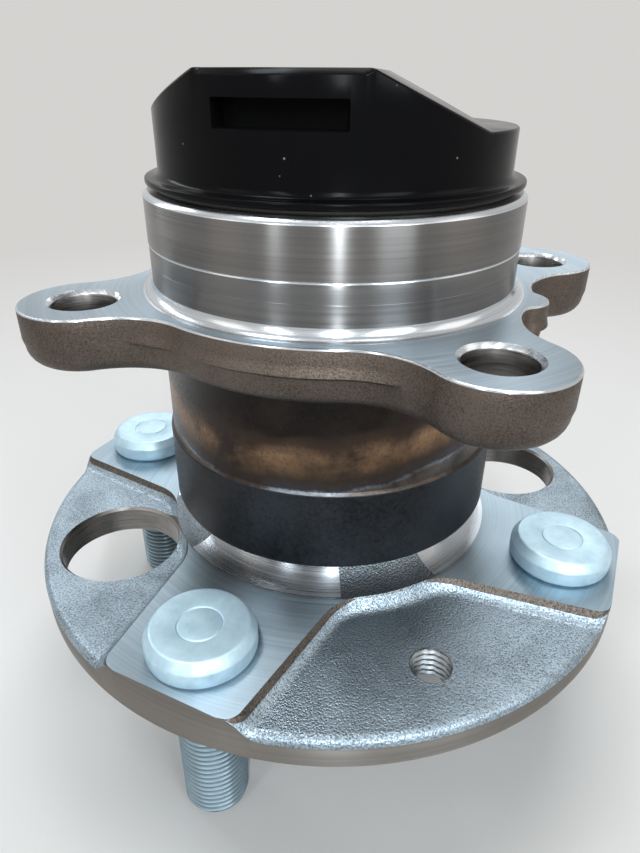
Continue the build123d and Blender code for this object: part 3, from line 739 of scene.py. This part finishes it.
def outer_ring():
    """Outer ring with its knuckle flange, bolt holes and inside."""
    ground, turned_low, faced, skin_zone, neck, band, inside, bored, highlight_edge = range(9)
    arcs = flange_arcs()
    edge = outline_points(arcs)
    deep = outline_points(arcs, 1.0)
    angles = np.arctan2(edge[:, 1], edge[:, 0])
    rings, zones = [], []

    def row(ring, zone):
        rings.append(ring)
        zones.append(zone)

    def circles(zone, *places):
        for radius, z in places:
            row(ring_of(radius, z, angles), zone)

    def outline(inset, z, zone):
        row(at_height(outline_points(arcs, inset), z), zone)

    def between(share, radius, z, inset, zone):
        inner = ring_of(radius, z, angles)
        outer = at_height(outline_points(arcs, inset), z)
        row(inner + share * (outer - inner), zone)

    def forged_row(inset, z):
        row(at_height(edge + (deep - edge) * inset[:, None], z), skin_zone)

    under_z = FACE_Z - EAR_T
    # end face and ground pilot, down to its scribed line
    circles(ground, (CAP_SEAT_R, END_Z))
    # the chamfers, the scribed line and the root fillet take the bright edge steel: painted highlights
    circles(highlight_edge, (PILOT_R - 0.85, END_Z), (PILOT_R - 0.75, END_Z - 0.04))
    circles(highlight_edge, (PILOT_R - 0.05, PILOT_CHAMFER_Z + 0.05))
    circles(ground, (PILOT_R, PILOT_CHAMFER_Z - 0.08))
    circles(highlight_edge, (PILOT_R, LINE_Z + 0.22), (PILOT_R - 0.10, LINE_Z + 0.14), (PILOT_R - 0.22, LINE_Z))
    # turned foot of the pilot, with one fine line
    circles(turned_low, (PILOT_R - 0.12, LINE_Z - 0.2), (PILOT_R - 0.08, LINE_Z - 1.0))
    for up, sink in ((5.33, 0.08), (5.25, 0.13), (5.17, 0.08)):
        circles(turned_low, (PILOT_R - sink, FACE_Z + up))
    circles(highlight_edge, (PILOT_R - 0.08, FACE_Z + PILOT_ROOT_R))
    circles(highlight_edge, *((PILOT_R + across, FACE_Z + up) for across, up in quarter(PILOT_ROOT_R, 6)[1:]))
    zones[-1] = faced
    # machined face of the ears and its edge, painted bright as a highlight line
    for share in (0.15, 0.5, 0.85):
        between(share, PILOT_R + PILOT_ROOT_R, FACE_Z, 0.3, faced)
    outline(0.45, FACE_Z, faced)
    outline(0.33, FACE_Z, highlight_edge)
    outline(0.11, FACE_Z - 0.1, highlight_edge)
    outline(0.0, FACE_Z - 0.33, skin_zone)
    # forged side, with a parting ridge and a set-in lower half between the ears, rounded below
    ridge = ridge_share(edge)
    for inset, up in ((0.0, 1.9), (-0.25, 1.1), (-0.6, 0.35), (-0.7, 0.0), (0.35, -0.4), (0.9, -1.0)):
        forged_row(inset * ridge, RIDGE_Z + up)
    low_inset = 0.3 + 0.9 * ridge
    round_r = EAR_EDGE_R - 1.1 * ridge
    for t in np.linspace(0, pi / 2, 8):
        forged_row(low_inset + (EAR_EDGE_R - low_inset) * (1 - cos(t)), under_z + round_r * (1 - sin(t)))
    for share in (0.7, 0.35):
        between(share, NECK_R + 0.9, under_z, EAR_EDGE_R, skin_zone)
    # neck and hardened band
    circles(skin_zone, (NECK_R + 0.9, under_z))
    circles(neck, (NECK_R + 0.27, under_z - 0.27), (NECK_R, under_z - 0.9))
    circles(neck, (NECK_R, (under_z + BAND_TOP) / 2), (NECK_R, BAND_TOP + 0.5))
    circles(band, (BAND_R - 0.1, BAND_TOP + 0.05), (BAND_R, BAND_TOP - 0.1), (BAND_R, RING_Z + 1.1))
    circles(band, *((BAND_R - along, RING_Z + across) for along, across in quarter(0.8, 3)))
    # inside, from the wheel end up: seal seat, two raceways, seal seat, cap seat
    low_z, high_z, cap_z = RING_Z + 5.7, RING_Z + 45.5, END_Z - 8.5
    circles(inside, (SEAT_R, RING_Z), (SEAT_R, low_z), (RACE_R - 0.5, low_z))
    for row_z in (OUTBOARD_Z, INBOARD_Z):
        for z in np.linspace(-2.3, 2.3, 7):
            circles(inside, (PITCH_R + sqrt(RACEWAY_R**2 - z**2), row_z + z))
    circles(inside, (RACE_R - 0.5, high_z), (SEAT_R, high_z), (SEAT_R, cap_z), (CAP_SEAT_R, cap_z))
    total = len(angles) * len(rings)
    faces, paint = skin([*rings, rings[0]], zones)
    faces = [[i % total for i in face] for face in faces]
    materials = [GROUND, TURNED, FACED, EAR_SKIN, NECK_TINT_AND_SHADE, BAND_DARK, RACE, BORED, HIGHLIGHT_EDGE]
    obj = mesh_object("outer_ring_body", np.vstack(rings), faces, paint, materials)
    hole = bolt_hole(under_z, bored, highlight_edge)
    cut(obj, [placed(hole, sx * BOLT_X, sy * BOLT_Y) for sx in (-1, 1) for sy in (-1, 1)])
    finish_piece(obj, "knuckle_side", "ring_steel", "outer_ring")


def ridge_share(edge):
    """1 along the waist, falling to 0 where the outline runs out to an ear."""
    reach = np.linalg.norm(edge, axis=1)
    away = np.clip((reach - WAIST_R - 1.0) / 4.0, 0, 1)
    return 1 - away * away * (3 - 2 * away)


def through_cutter(low, high, end, zones, columns):
    """Cutter of a hole between two heights. end has one end's (radius, depth) steps, from outside in."""
    profile = [(r, low + depth) for r, depth in end] + [(r, high - depth) for r, depth in end[::-1]]
    return closed_lathe(profile, zones, columns)


def bolt_hole(under_z, wall, chamfer):
    """Cutter of one knuckle bolt hole with a chamfer at both ends."""
    r, c = BOLT_HOLE_R, BOLT_CHAMFER
    end = [(0, -2), (r + c, -2), (r + c, 0), (r + 0.06, c - 0.06), (r, c + 0.1)]
    # the chamfers take the bright edge steel: painted highlights
    zones = [wall] * 2 + [chamfer] + [wall] * 3 + [chamfer] + [wall] * 2
    return through_cutter(under_z, FACE_Z, end, zones, 96)


# ---- hub


def pad_profile(grow):
    """Half outline of the island round one pad in its own frame, from 45 degrees round to the pad's tip.

    Also returns the angle at which the pad's throat leaves the foot, and the tip's half width.
    """
    foot = FOOT_R + grow
    lean = tan(PAD_TAPER)
    height = PAD_HALF_W + grow + STUD_CIRCLE_R * lean
    slope = np.array([cos(PAD_TAPER), -sin(PAD_TAPER)])
    normal = np.array([sin(PAD_TAPER), cos(PAD_TAPER)])
    offset = height * cos(PAD_TAPER)  # distance of the pad's side line from the axis
    # throat fillet between the foot circle and the side line
    side = offset + PAD_THROAT_R
    reach = sqrt((foot + PAD_THROAT_R) ** 2 - side**2)
    throat = normal * side + slope * reach
    first = atan2(*(-throat)[::-1])
    last = atan2(*(-normal)[::-1])
    tip_x = FLANGE_R - PAD_INSET + grow
    corner_x = tip_x - PAD_CORNER_R
    corner_y = (offset - PAD_CORNER_R - corner_x * normal[0]) / normal[1]
    corner = np.array([corner_x, corner_y])

    def arc_line(centre, radius, start, end, count=60):
        steps = np.linspace(start, end, count)
        return np.array(centre) + radius * unit(steps)

    outline = np.vstack(
        [
            arc_line((0, 0), foot, pi / 4, direction(throat)),
            arc_line(throat, PAD_THROAT_R, first, first + wrapped(last - first)),
            arc_line(corner, PAD_CORNER_R, direction(normal), 0.0),
            [[tip_x, 0.0], [0.0, 0.0]],
        ]
    )
    return outline, direction(throat), corner_y


def island_distance(points, outline):
    """Signed distance to the island's outline, negative inside, for points in one eighth of the hub."""
    starts, steps = outline[:-2], np.diff(outline[:-1], axis=0)
    away = points[:, None] - starts
    share = np.clip((away * steps).sum(2) / np.maximum((steps**2).sum(1), 1e-12), 0, 1)
    best = np.linalg.norm(away - share[..., None] * steps, axis=2).min(1)
    x, y = points[:, :1], points[:, 1:]
    (x1, y1), (x2, y2) = outline.T, np.roll(outline, -1, axis=0).T
    with np.errstate(divide="ignore", invalid="ignore"):
        crossed = ((y1 > y) != (y2 > y)) & (x < (x2 - x1) * (y - y1) / (y2 - y1) + x1)
    inside = crossed.sum(1) % 2 == 1
    return np.where(inside, -best, best)


def blend_high(a, b, width):
    """Larger of two heights, with a forged fillet where they meet."""
    h = np.clip(0.5 + 0.5 * (a - b) / width, 0, 1)
    return b + (a - b) * h + width * h * (1 - h)


def flange_height(radius, outside):
    """Height of the flange's upper side from the radius and the distance outside the pads' top edge."""
    island = FLANGE_T - np.maximum(outside, 0) / tan(WEB_DRAFT)
    over = np.clip(radius - (FLANGE_R - RIM_ROUND), 0, RIM_ROUND)
    web = FLANGE_T - WEB_DROP - RIM_ROUND + np.sqrt(RIM_ROUND**2 - over**2)
    top = blend_high(island, web, PAD_FILLET)
    return np.where(outside <= 0, FLANGE_T, np.minimum(top, FLANGE_T))


def bent_ring(radius, angles, tip_x, tip_r):
    """Radii of one ring of the flange's upper side, bent where it passes a pad's straight tip."""
    bend = np.minimum(1.0, tip_x / (tip_r * np.cos(angles)))
    if radius > tip_r:
        return FLANGE_R - (FLANGE_R - radius) * (FLANGE_R - tip_r * bend) / (FLANGE_R - tip_r)
    return radius * (1 + (bend - 1) * max(0.0, 1 - (tip_r - radius) / TIP_BLEND))


def side_angle(radius, outline, spread, tip_x, tip_r):
    """Angle at which one ring crosses the side of a pad."""
    tries = np.linspace(0, pi / 4, 2000)
    r = bent_ring(radius, tries, tip_x, tip_r)
    outside = island_distance(r[:, None] * unit(tries), outline) + spread
    last = np.flatnonzero(outside <= 0).max()
    return np.interp(0.0, outside[last : last + 2], tries[last : last + 2])


def flange_grid():
    """Upper side of the flange: rings with every pad side on one column and every tip on one ring.

    Also returns the rings' nominal radii and the radius of the tips' ring.
    """
    spread = (WEB_DROP + RIM_ROUND) * tan(WEB_DRAFT)
    outline, throat, corner_y = pad_profile(spread)
    tip_x = FLANGE_R - PAD_INSET
    tip_r = hypot(tip_x, corner_y)
    start = FOOT_R + GRID_STEP * np.array([0, 0.06, 0.25, 0.56])
    rim = FLANGE_R - RIM_ROUND * (1 - np.sin(np.linspace(0, pi / 2, 9)))
    rim[np.argmin(np.abs(rim - tip_r))] = tip_r
    radii = np.concatenate([start, np.arange(FOOT_R + GRID_STEP, rim[0] - 0.2, GRID_STEP), rim])
    rings = []
    for radius in radii:
        if radius == FOOT_R:
            side = throat
        elif radius >= tip_r:
            side = atan2(corner_y, tip_x)
        else:
            side = side_angle(radius, outline, spread, tip_x, tip_r)
        wall = min(PAD_FLANK / radius, 0.6 * (pi / 4 - side))
        columns = (0, PAD_COLUMNS, PAD_COLUMNS + WALL_COLUMNS, EIGHTH)
        small = np.interp(np.arange(EIGHTH + 1), columns, (0.0, side, side + wall, pi / 4))
        r = bent_ring(radius, small, tip_x, tip_r)
        points = r[:, None] * unit(small)
        outside = island_distance(points, outline) + spread
        if radius <= tip_r:
            outside[PAD_COLUMNS] = 0.0
        height = flange_height(r, outside)
        whole, tops = [], []
        for i in range(2 * STUD_COUNT):
            mirrored = i % 2
            order = slice(EIGHTH, 0, -1) if mirrored else slice(0, EIGHTH)
            turn = TAU * ((i + mirrored) // 2) / STUD_COUNT
            x, y = points[order, 0], points[order, 1] * (-1 if mirrored else 1)
            c, s = cos(turn), sin(turn)
            whole.append(np.column_stack([x * c - y * s, x * s + y * c]))
            tops.append(height[order])
        rings.append(at_height(np.vstack(whole), np.concatenate(tops)))
    return rings, radii, tip_r


def hub():
    """Hub: flange with pads and webs, boss, and spindle."""
    # zones foot and scale carry painted shade: the darker foot skin between the pads and the near black
    # strip along the pads
    faced, boss, web, rim, bored, race, foot, scale, tapped = range(9)
    columns = 8 * EIGHTH
    end_z = WHEEL_PILOT_END
    top, radii, tip_r = flange_grid()
    fold = np.arange(columns) % (2 * EIGHTH)
    fold = np.minimum(fold, 2 * EIGHTH - 1 - fold)
    rings, zones = [], []
    angles = np.arctan2(top[0][:, 1], top[0][:, 0])

    def circles(zone, *places):
        for radius, z in places:
            rings.append(ring_of(radius, z, angles))
            zones.append(zone)

    # boss from its top out to the foot, turned only in line with the pads
    # between the pads the forged foot takes the darker foot skin, painted shade under the outer ring
    around = np.where(fold < BOSS_COLUMNS, boss, foot)
    circles(boss, (SHAFT_FOOT_R, BOSS_Z))
    circles(around, (BOSS_R - 0.2, BOSS_Z))
    rise, run = BOSS_Z - FLANGE_T, FOOT_R - BOSS_R
    for t in np.linspace(0, pi / 2, 13)[:-1]:
        circles(around, (BOSS_R + run * (1 - cos(t)) ** BOSS_FOOT_CURVE, FLANGE_T + rise * (1 - sin(t))))
    # pads, webs and the painted dark shade along the pads' sides and tips
    off_pad = np.where(fold < PAD_COLUMNS + SHADE_COLUMNS, scale, web)
    for ring, radius in zip(top, radii):
        rings.append(ring)
        if radius < FOOT_R + 0.2:
            # painted shade: the darker foot skin between the pads
            zones.append(np.where(fold < BOSS_COLUMNS, faced, foot))
        else:
            # past the tips' ring the pad's edge takes the painted shade
            on_pad = faced if radius < tip_r else scale
            zones.append(np.where(fold < PAD_COLUMNS, on_pad, off_pad))
    # turned rim
    zones[-1] = rim
    angles = np.arctan2(top[-1][:, 1], top[-1][:, 0])
    circles(rim, (FLANGE_R, RIM_CHAMFER + 0.1), (FLANGE_R - 0.05, RIM_CHAMFER - 0.05))
    circles(rim, (FLANGE_R - RIM_CHAMFER, 0.0))
    # wheel side: seating face, the relief inside it and the wheel pilot
    circles(rim, (FACE_RELIEF_R + FACE_RELIEF, 0.0), (FACE_RELIEF_R, FACE_RELIEF))
    circles(rim, (WHEEL_PILOT_R - 0.5, FACE_RELIEF), (WHEEL_PILOT_R - 0.5, FACE_RELIEF - 1.1))
    circles(rim, (WHEEL_PILOT_R, FACE_RELIEF - 1.6), (WHEEL_PILOT_R, end_z + WHEEL_PILOT_CHAMFER))
    # recess behind the wheel
    cup_r = WHEEL_PILOT_R - CUP_WALL
    bend_z = 2.0
    bend_r = cup_r - (bend_z - end_z) * tan(CUP_DRAFT)
    circles(web, (WHEEL_PILOT_R - WHEEL_PILOT_CHAMFER, end_z), (cup_r + 0.8, end_z), (cup_r, end_z + 0.8))
    circles(web, (bend_r, bend_z - 1.0), (bend_r - 1.0, bend_z + 0.6))
    circles(web, (CUP_FLOOR_R + 1.0, CUP_DEPTH - 0.7), (CUP_FLOOR_R - 0.6, CUP_DEPTH))
    materials = [PAD_FACED, BOSS_TURNED, WEB_SKIN, RIM_TURNED, BORED, RACE, SHADED_FOOT_SKIN, PAINTED_EDGE_SHADE, TAPPED]
    obj = mesh_object("hub_body", *capped(rings, zones[:-1], boss, web), materials)
    # the tapped holes' thread roots take the near black edge material: painted shade
    cut(obj, hub_holes(bored, tapped, scale))
    join(obj, mesh_object("hub_shaft", *spindle_lathe(race), materials))
    obj.data.transform(Matrix.Rotation(HUB_TURN, 4, "Z"))
    finish_piece(obj, "wheel_side", "hub_steel", "hub_spindle", sharp=24)


def spindle_lathe(zone):
    """Seal land, raceway, inner ring seat and rolled end of the spindle."""
    land_r = PITCH_R - 1.8
    throat_r = PITCH_R - 2.4
    split_z = INNER_LOW[2]
    head_z = INNER_HIGH[2]
    seat_r = PITCH_R - RACEWAY_R - 3.1
    roll_r = seat_r + 4.2
    profile = [(0, BOSS_Z - 0.5), (land_r, BOSS_Z - 0.5)]
    profile += [(land_r, OUTBOARD_Z - 7.05), (throat_r, OUTBOARD_Z - 6.45)]
    for t in np.linspace(radians(-64.5), radians(24.5), 9):
        profile.append((PITCH_R - RACEWAY_R * cos(t), OUTBOARD_Z + RACEWAY_R * sin(t)))
    profile += [(PITCH_R - RACEWAY_R + 0.5, split_z), (seat_r, split_z), (seat_r, head_z)]
    profile += [(roll_r, head_z), (roll_r, CLINCH_Z - 2.2)]
    for along, across in quarter(2.2, 5)[1:]:
        profile.append((roll_r - along, CLINCH_Z - across))
    profile += [(seat_r - 4.0, CLINCH_Z), (seat_r - 6.0, CLINCH_Z - 3.0), (0, CLINCH_Z - 3.0)]
    return closed_lathe(profile, [zone] * (len(profile) - 1), 160)


def flange_hole(radius, high, chamfer, zone, columns):
    """Cutter of a plain hole through the flange with a small chamfer at both ends."""
    end = [(0, -6), (radius + chamfer, -6), (radius + chamfer, 0), (radius, chamfer)]
    return through_cutter(0, high, end, [zone] * 7, columns)


def tap_cutter(flank, root):
    """Cutter of an M8 tapped hole through a web."""
    columns, rows_per_pitch = 72, 12
    angles = np.arange(columns) * TAU / columns
    rings, zones = [], []
    for z in np.arange(-1.0, FLANGE_T - WEB_DROP + 1.0, TAP_PITCH / rows_per_pitch):
        depth = thread_depth(z / TAP_PITCH - angles / TAU, TAP_PITCH)
        rings.append(ring_of(TAP_CORE_R + 0.5 - 0.75 * depth, z, angles))
        # the thread's roots take the root material, which is painted shade
        zones.append(np.where(depth < 0.3, root, flank))
    return capped(rings, zones[:-1], flank, flank)


def on_circle(mesh, radius, angle):
    """A (verts, faces, paint) group moved out to a circle about the axis."""
    return placed(mesh, radius * cos(angle), radius * sin(angle))


def hub_holes(zone, flank, root):
    """Cutters of all the flange's holes, in the hub's own frame."""
    half = pi / STUD_COUNT
    stud_hole = flange_hole(STUD_HOLE_R, FLANGE_T, 0.0, zone, 48)
    access = flange_hole(ACCESS_R, FLANGE_T - WEB_DROP, 0.5, zone, 144)
    tapped = tap_cutter(flank, root)
    holes = [on_circle(stud_hole, STUD_CIRCLE_R, TAU * i / STUD_COUNT) for i in range(STUD_COUNT)]
    holes += [on_circle(access, ACCESS_CIRCLE_R, half + turn) for turn in (0, pi)]
    holes += [on_circle(tapped, STUD_CIRCLE_R, half + turn) for turn in (pi / 2, 3 * pi / 2)]
    return holes


# ---- wheel studs


def stud(index):
    """Wheel stud with a rolled head, an engraved ring and an M12 thread."""
    columns, rows_per_pitch = 72, 10
    angles = np.arange(columns) * TAU / columns
    thread_end = STUD_END + THREAD_L
    rings = []
    for z in np.arange(STUD_END, thread_end, THREAD_PITCH / rows_per_pitch):
        depth = thread_depth(z / THREAD_PITCH - angles / TAU, THREAD_PITCH)
        depth = depth * np.clip((thread_end - z) / THREAD_PITCH, 0, 1)
        lead_in = STUD_R - THREAD_LEAD_IN + (z - STUD_END)
        rings.append(ring_of(np.minimum(STUD_R - depth, lead_in), z, angles))
    profile = [(STUD_R, -0.35), (STUD_HOLE_R - 0.02, 0.0), (STUD_HOLE_R - 0.02, FLANGE_T)]
    profile += [(STUD_HEAD_R - inset, FLANGE_T + up) for inset, up in HEAD_FOOT]
    profile += [(STUD_HEAD_R - inset, STUD_TOP - sink) for inset, sink in HEAD_EDGE]
    profile += [(r, STUD_TOP - sink) for r, sink in HEAD_GROOVE]
    rings += [ring_of(r, z, angles) for r, z in profile]
    angle = HUB_TURN + TAU * index / STUD_COUNT
    turn = np.array(Matrix.Rotation(angle + 0.7 * index, 3, "Z"))
    turned = [ring @ turn.T for ring in rings]
    mesh = on_circle(capped(turned, [0] * (len(rings) - 1), 0, 0), STUD_CIRCLE_R, angle)
    obj = mesh_object(f"stud_{index + 1}", *mesh, [ZINC])
    finish_piece(obj, "wheel_side", "zinc_steel", f"wheel_stud_{index + 1}", sharp=22)


# ---- sensor cap


def roof_creases():
    """Places across the roof where its slopes start and end, in the ridge's own frame."""
    run = SHELF_DROP / tan(ROOF_FALL)
    return ROOF_LEFT, ROOF_LEFT - run, ROOF_RIGHT, ROOF_RIGHT + run


def roof_height(x):
    """Height of the cap's top across the ridge, with softened creases."""
    beyond = np.maximum(np.maximum(ROOF_LEFT - x, x - ROOF_RIGHT), 0)
    height = CAP_TOP - np.minimum(beyond * tan(ROOF_FALL), SHELF_DROP)
    for place, sign in zip(roof_creases(), (-1, 1, -1, 1)):
        near = np.clip(ROOF_BEND - np.abs(x - place), 0, ROOF_BEND)
        height = height + sign * near**2 / (4 * ROOF_BEND) * tan(ROOF_FALL)
    return height


def cap_columns(radius):
    """Angles round the cap, mirrored front to back, denser at the creases."""
    places = [place + d for place in roof_creases() for d in np.linspace(-1.2, 1.2, 13)]
    extra = [acos(place / radius) for place in places if abs(place) < radius]
    half = np.unique(np.round(np.concatenate([np.linspace(0, pi, 181)[1:-1], extra]), 6))
    return np.concatenate([[0.0], half, [pi], TAU - half[::-1]])


def sensor_cap():
    """Moulded cap: rim, body, sloped roof, front slot and plug socket."""
    angles = cap_columns(CAP_BODY_R)
    count = len(angles)
    rings = []

    def circle(radius, z):
        rings.append(ring_of(radius, z, angles))

    circle(CAP_BODY_R - 3.0, END_Z)
    circle(CAP_BODY_R - 0.1, END_Z)
    circle(CAP_BODY_R - 0.1, CAP_RIM_Z)
    for along, across in quarter(CAP_EDGE_R, 3)[::-1]:
        circle(CAP_RIM_R - along, CAP_RIM_Z + across)
    for along, across in quarter(CAP_EDGE_R, 3):
        circle(CAP_RIM_R - along, CAP_FOOT_Z - across)
    for across, up in quarter(CAP_FOOT_R, 4)[::-1]:
        circle(CAP_BODY_R + across, CAP_FOOT_Z + up)
    # wall up to the roof, whose edge is rounder along the ridge than along the slopes
    x = CAP_BODY_R * np.cos(angles)
    inward = np.minimum(x - ROOF_LEFT, ROOF_RIGHT - x)
    edge = CAP_EDGE_R + 0.65 * np.clip((inward + 0.4) / 1.2, 0, 1)
    low = CAP_FOOT_Z + CAP_FOOT_R
    for share in (0.33, 0.66):
        circle(CAP_BODY_R, low + (roof_height(x) - edge - low) * share)
    for along, across in ((0, 1), (0.03, 0.88), (0.12, 0.76), (0.76, 0.12), (0.88, 0.03), (1, 0)):
        radius = CAP_BODY_R - along * edge
        circle(radius, roof_height(radius * np.cos(angles)) - across * edge)
    faces, paint = skin(rings, [0] * (len(rings) - 1))
    # roof in strips from front to back, then the underside
    last = (len(rings) - 1) * count
    for a in range(count // 2):
        b = a + 1
        strip = [last + a, last + b, last + (count - b) % count, last + (count - a) % count]
        faces.append(list(dict.fromkeys(strip)))
    faces.append(list(range(count)))
    paint += [0] * (count // 2 + 1)
    obj = mesh_object("cap_body", np.vstack(rings), faces, paint, [CAP_BLACK, CAP_SHADE])
    obj.data.transform(Matrix.Rotation(ROOF_SKEW, 4, "Z"))
    front = soft_box(SLOT_W, SLOT_H, -CAP_RIM_R - 1, SLOT_DEPTH - CAP_BODY_R, SLOT_LOW, 0.35)
    rear = soft_box(SOCKET_W, SOCKET_H, CAP_BODY_R - SOCKET_DEPTH, CAP_RIM_R + 1, SOCKET_LOW, 1.2)
    cut(obj, [front, rear])
    obj.data.transform(Matrix.Rotation(CAP_TURN, 4, "Z"))
    finish_piece(obj, "knuckle_side", "cap_plastic", "sensor_cap_housing", sharp=32)


def soft_box(width, height, y_low, y_high, z_low, corner):
    """Box along Y with rounded long edges, painted with the cap's dark inside, a painted shade."""
    points = []
    for cx, cz, start in ((1, 1, 0), (-1, 1, 1), (-1, -1, 2), (1, -1, 3)):
        for t in np.linspace(start * pi / 2, (start + 1) * pi / 2, 5):
            x = cx * (width / 2 - corner) + corner * cos(t)
            z = z_low + height / 2 + cz * (height / 2 - corner) + corner * sin(t)
            points.append((x, z))
    rings = [np.array([(x, y, z) for x, z in points]) for y in (y_low, y_high)]
    return capped(rings, [1], 1, 1)


# ---- kept CAD pieces


def repaint(material, *names):
    """Puts a material on CAD nodes that stay."""
    for name in names:
        for slot in frame["nodes"][name].material_slots:
            slot.material = material


# ---- camera, light, floor

PHOTO_W, PHOTO_H = 640, 853
CENTRE_X, CENTRE_Y = 317.30, 428.13  # the lens axis, in pixels of the photo
FOCAL_PX = 644.956
SENSOR_MM = 36.0
CAMERA_PLACE = (40.87, -114.79, 91.98)
CAMERA_FORWARD = (-0.31281, 0.81870, -0.48155)
CAMERA_RIGHT = (0.93313, 0.35950, 0.00506)

BACKDROP = (0.66, 0.65, 0.635)
FLOOR = (0.62, 0.61, 0.595)
FLOOR_HALF_M = 4.0
FADE_FROM, FADE_TO = 140, 450
DAYLIGHT = (0.88, 0.95, 1.0)
WARM = (1.0, 0.93, 0.86)


def camera():
    """Camera at the photograph's place, fitted to the object's circles."""
    data = bpy.data.cameras.new("camera")
    data.sensor_width = SENSOR_MM
    data.lens = SENSOR_MM * FOCAL_PX / PHOTO_H
    data.shift_x = (PHOTO_W / 2 - CENTRE_X) / PHOTO_H
    data.shift_y = (CENTRE_Y - PHOTO_H / 2) / PHOTO_H
    data.clip_start = 0.01
    data.clip_end = 50.0
    obj = new_object("camera", data)
    forward = Vector(CAMERA_FORWARD).normalized()
    right = Vector(CAMERA_RIGHT).normalized()
    turn = Matrix((right, right.cross(forward), -forward)).transposed().to_4x4()
    obj.matrix_world = Matrix.Translation(Vector(CAMERA_PLACE) * MM) @ turn
    bpy.context.scene.camera = obj


def softbox(name, azimuth, elevation, distance, size, radiance, colour=(1, 1, 1)):
    """Area light on a sphere round the object, in degrees and metres."""
    data = bpy.data.lights.new(name, "AREA")
    data.shape = "RECTANGLE"
    data.size, data.size_y = size
    data.energy = radiance * pi * size[0] * size[1]
    data.color = colour
    obj = new_object(name, data)
    a, e = radians(azimuth), radians(elevation)
    away = Vector((cos(e) * cos(a), cos(e) * sin(a), sin(e)))
    obj.location = away * distance + Vector((0, 0, 0.03))
    obj.rotation_euler = away.to_track_quat("Z", "Y").to_euler()
    obj.visible_camera = False


def lights():
    """Two lights above, a window behind, and panes that draw the streaks down the turned steel."""
    softbox("overhead", 100, 74, 0.95, (0.6, 0.6), 4.6)
    softbox("high_left", -170, 70, 1.0, (0.22, 0.22), 10.0, (0.86, 0.94, 1.0))
    softbox("window", 110, 33, 1.3, (1.0, 0.5), 1.9, (0.92, 0.97, 1.0))
    softbox("front_strip", -67, 32, 1.0, (0.055, 0.8), 40.0, DAYLIGHT)
    softbox("right_pane", -34, 30, 1.0, (0.34, 0.6), 5.4, DAYLIGHT)
    softbox("left_pane", -104, 30, 1.0, (0.10, 0.6), 8.5, DAYLIGHT)
    softbox("far_left", 168, 28, 1.0, (0.12, 0.5), 7.0, DAYLIGHT)
    softbox("left", -136, 32, 0.95, (0.35, 0.5), 1.0, WARM)
    softbox("right", 12, 32, 0.95, (0.50, 0.5), 1.0, WARM)


def world():
    """Even grey light, with a pale backdrop for the camera and the metal."""
    studio = bpy.data.worlds.new("studio")
    bpy.context.scene.world = studio
    studio.use_nodes = True
    nodes = Nodes(studio.node_tree)
    nodes.tree.nodes.clear()
    dim = nodes.add("ShaderNodeBackground", {"Color": (0.15, 0.15, 0.155)}).outputs[0]
    pale = nodes.add("ShaderNodeBackground", {"Color": BACKDROP}).outputs[0]
    mix = nodes.add("ShaderNodeMixShader", {0: nodes.seen(), 1: dim, 2: pale})
    nodes.add("ShaderNodeOutputWorld", {0: mix.outputs[0]})


def floor():
    """Pale floor at the stud ends that fades into the backdrop away from the object."""
    mesh = bpy.data.meshes.new("floor")
    h, z = FLOOR_HALF_M, STUD_END * MM - 0.0001
    mesh.from_pydata([(-h, -h, z), (h, -h, z), (h, h, z), (-h, h, z)], [], [(0, 1, 2, 3)])
    obj = new_object("floor", mesh)
    p = Paint("floor", 0.0, 0.8)
    p.colour(FLOOR)
    pale = p.add("ShaderNodeEmission", {"Color": BACKDROP}).outputs[0]
    fade = p.math("MULTIPLY", p.spread(p.radius(), FADE_FROM, FADE_TO), p.seen())
    mix = p.add("ShaderNodeMixShader", {0: fade, 1: p.shader.outputs[0], 2: pale})
    p.feed(p.tree.nodes["Material Output"].inputs[0], mix.outputs[0])
    mesh.materials.append(p.material)


bpy.context.scene.view_settings.view_transform = "Standard"
outer_ring()
hub()
for number in range(STUD_COUNT):
    stud(number)
sensor_cap()
repaint(BALL_STEEL, "outboard_balls", "inboard_balls")
repaint(CAGE, "outboard_cage", "inboard_cage")
repaint(RACE, "inner_ring")
repaint(SHEET, "outboard_slinger", "outboard_seal_case", "inboard_seal_case")
repaint(SHEET, "encoder_carrier", "sensor_cap_sleeve")
repaint(RUBBER, "outboard_seal_lips", "inboard_seal_lips", "sensor_cap_oring")
repaint(MAGNET, "encoder_magnet")
repaint(CHIP, "sensor_element")
repaint(CONTACT, "sensor_terminals")
camera()
lights()
world()
floor()
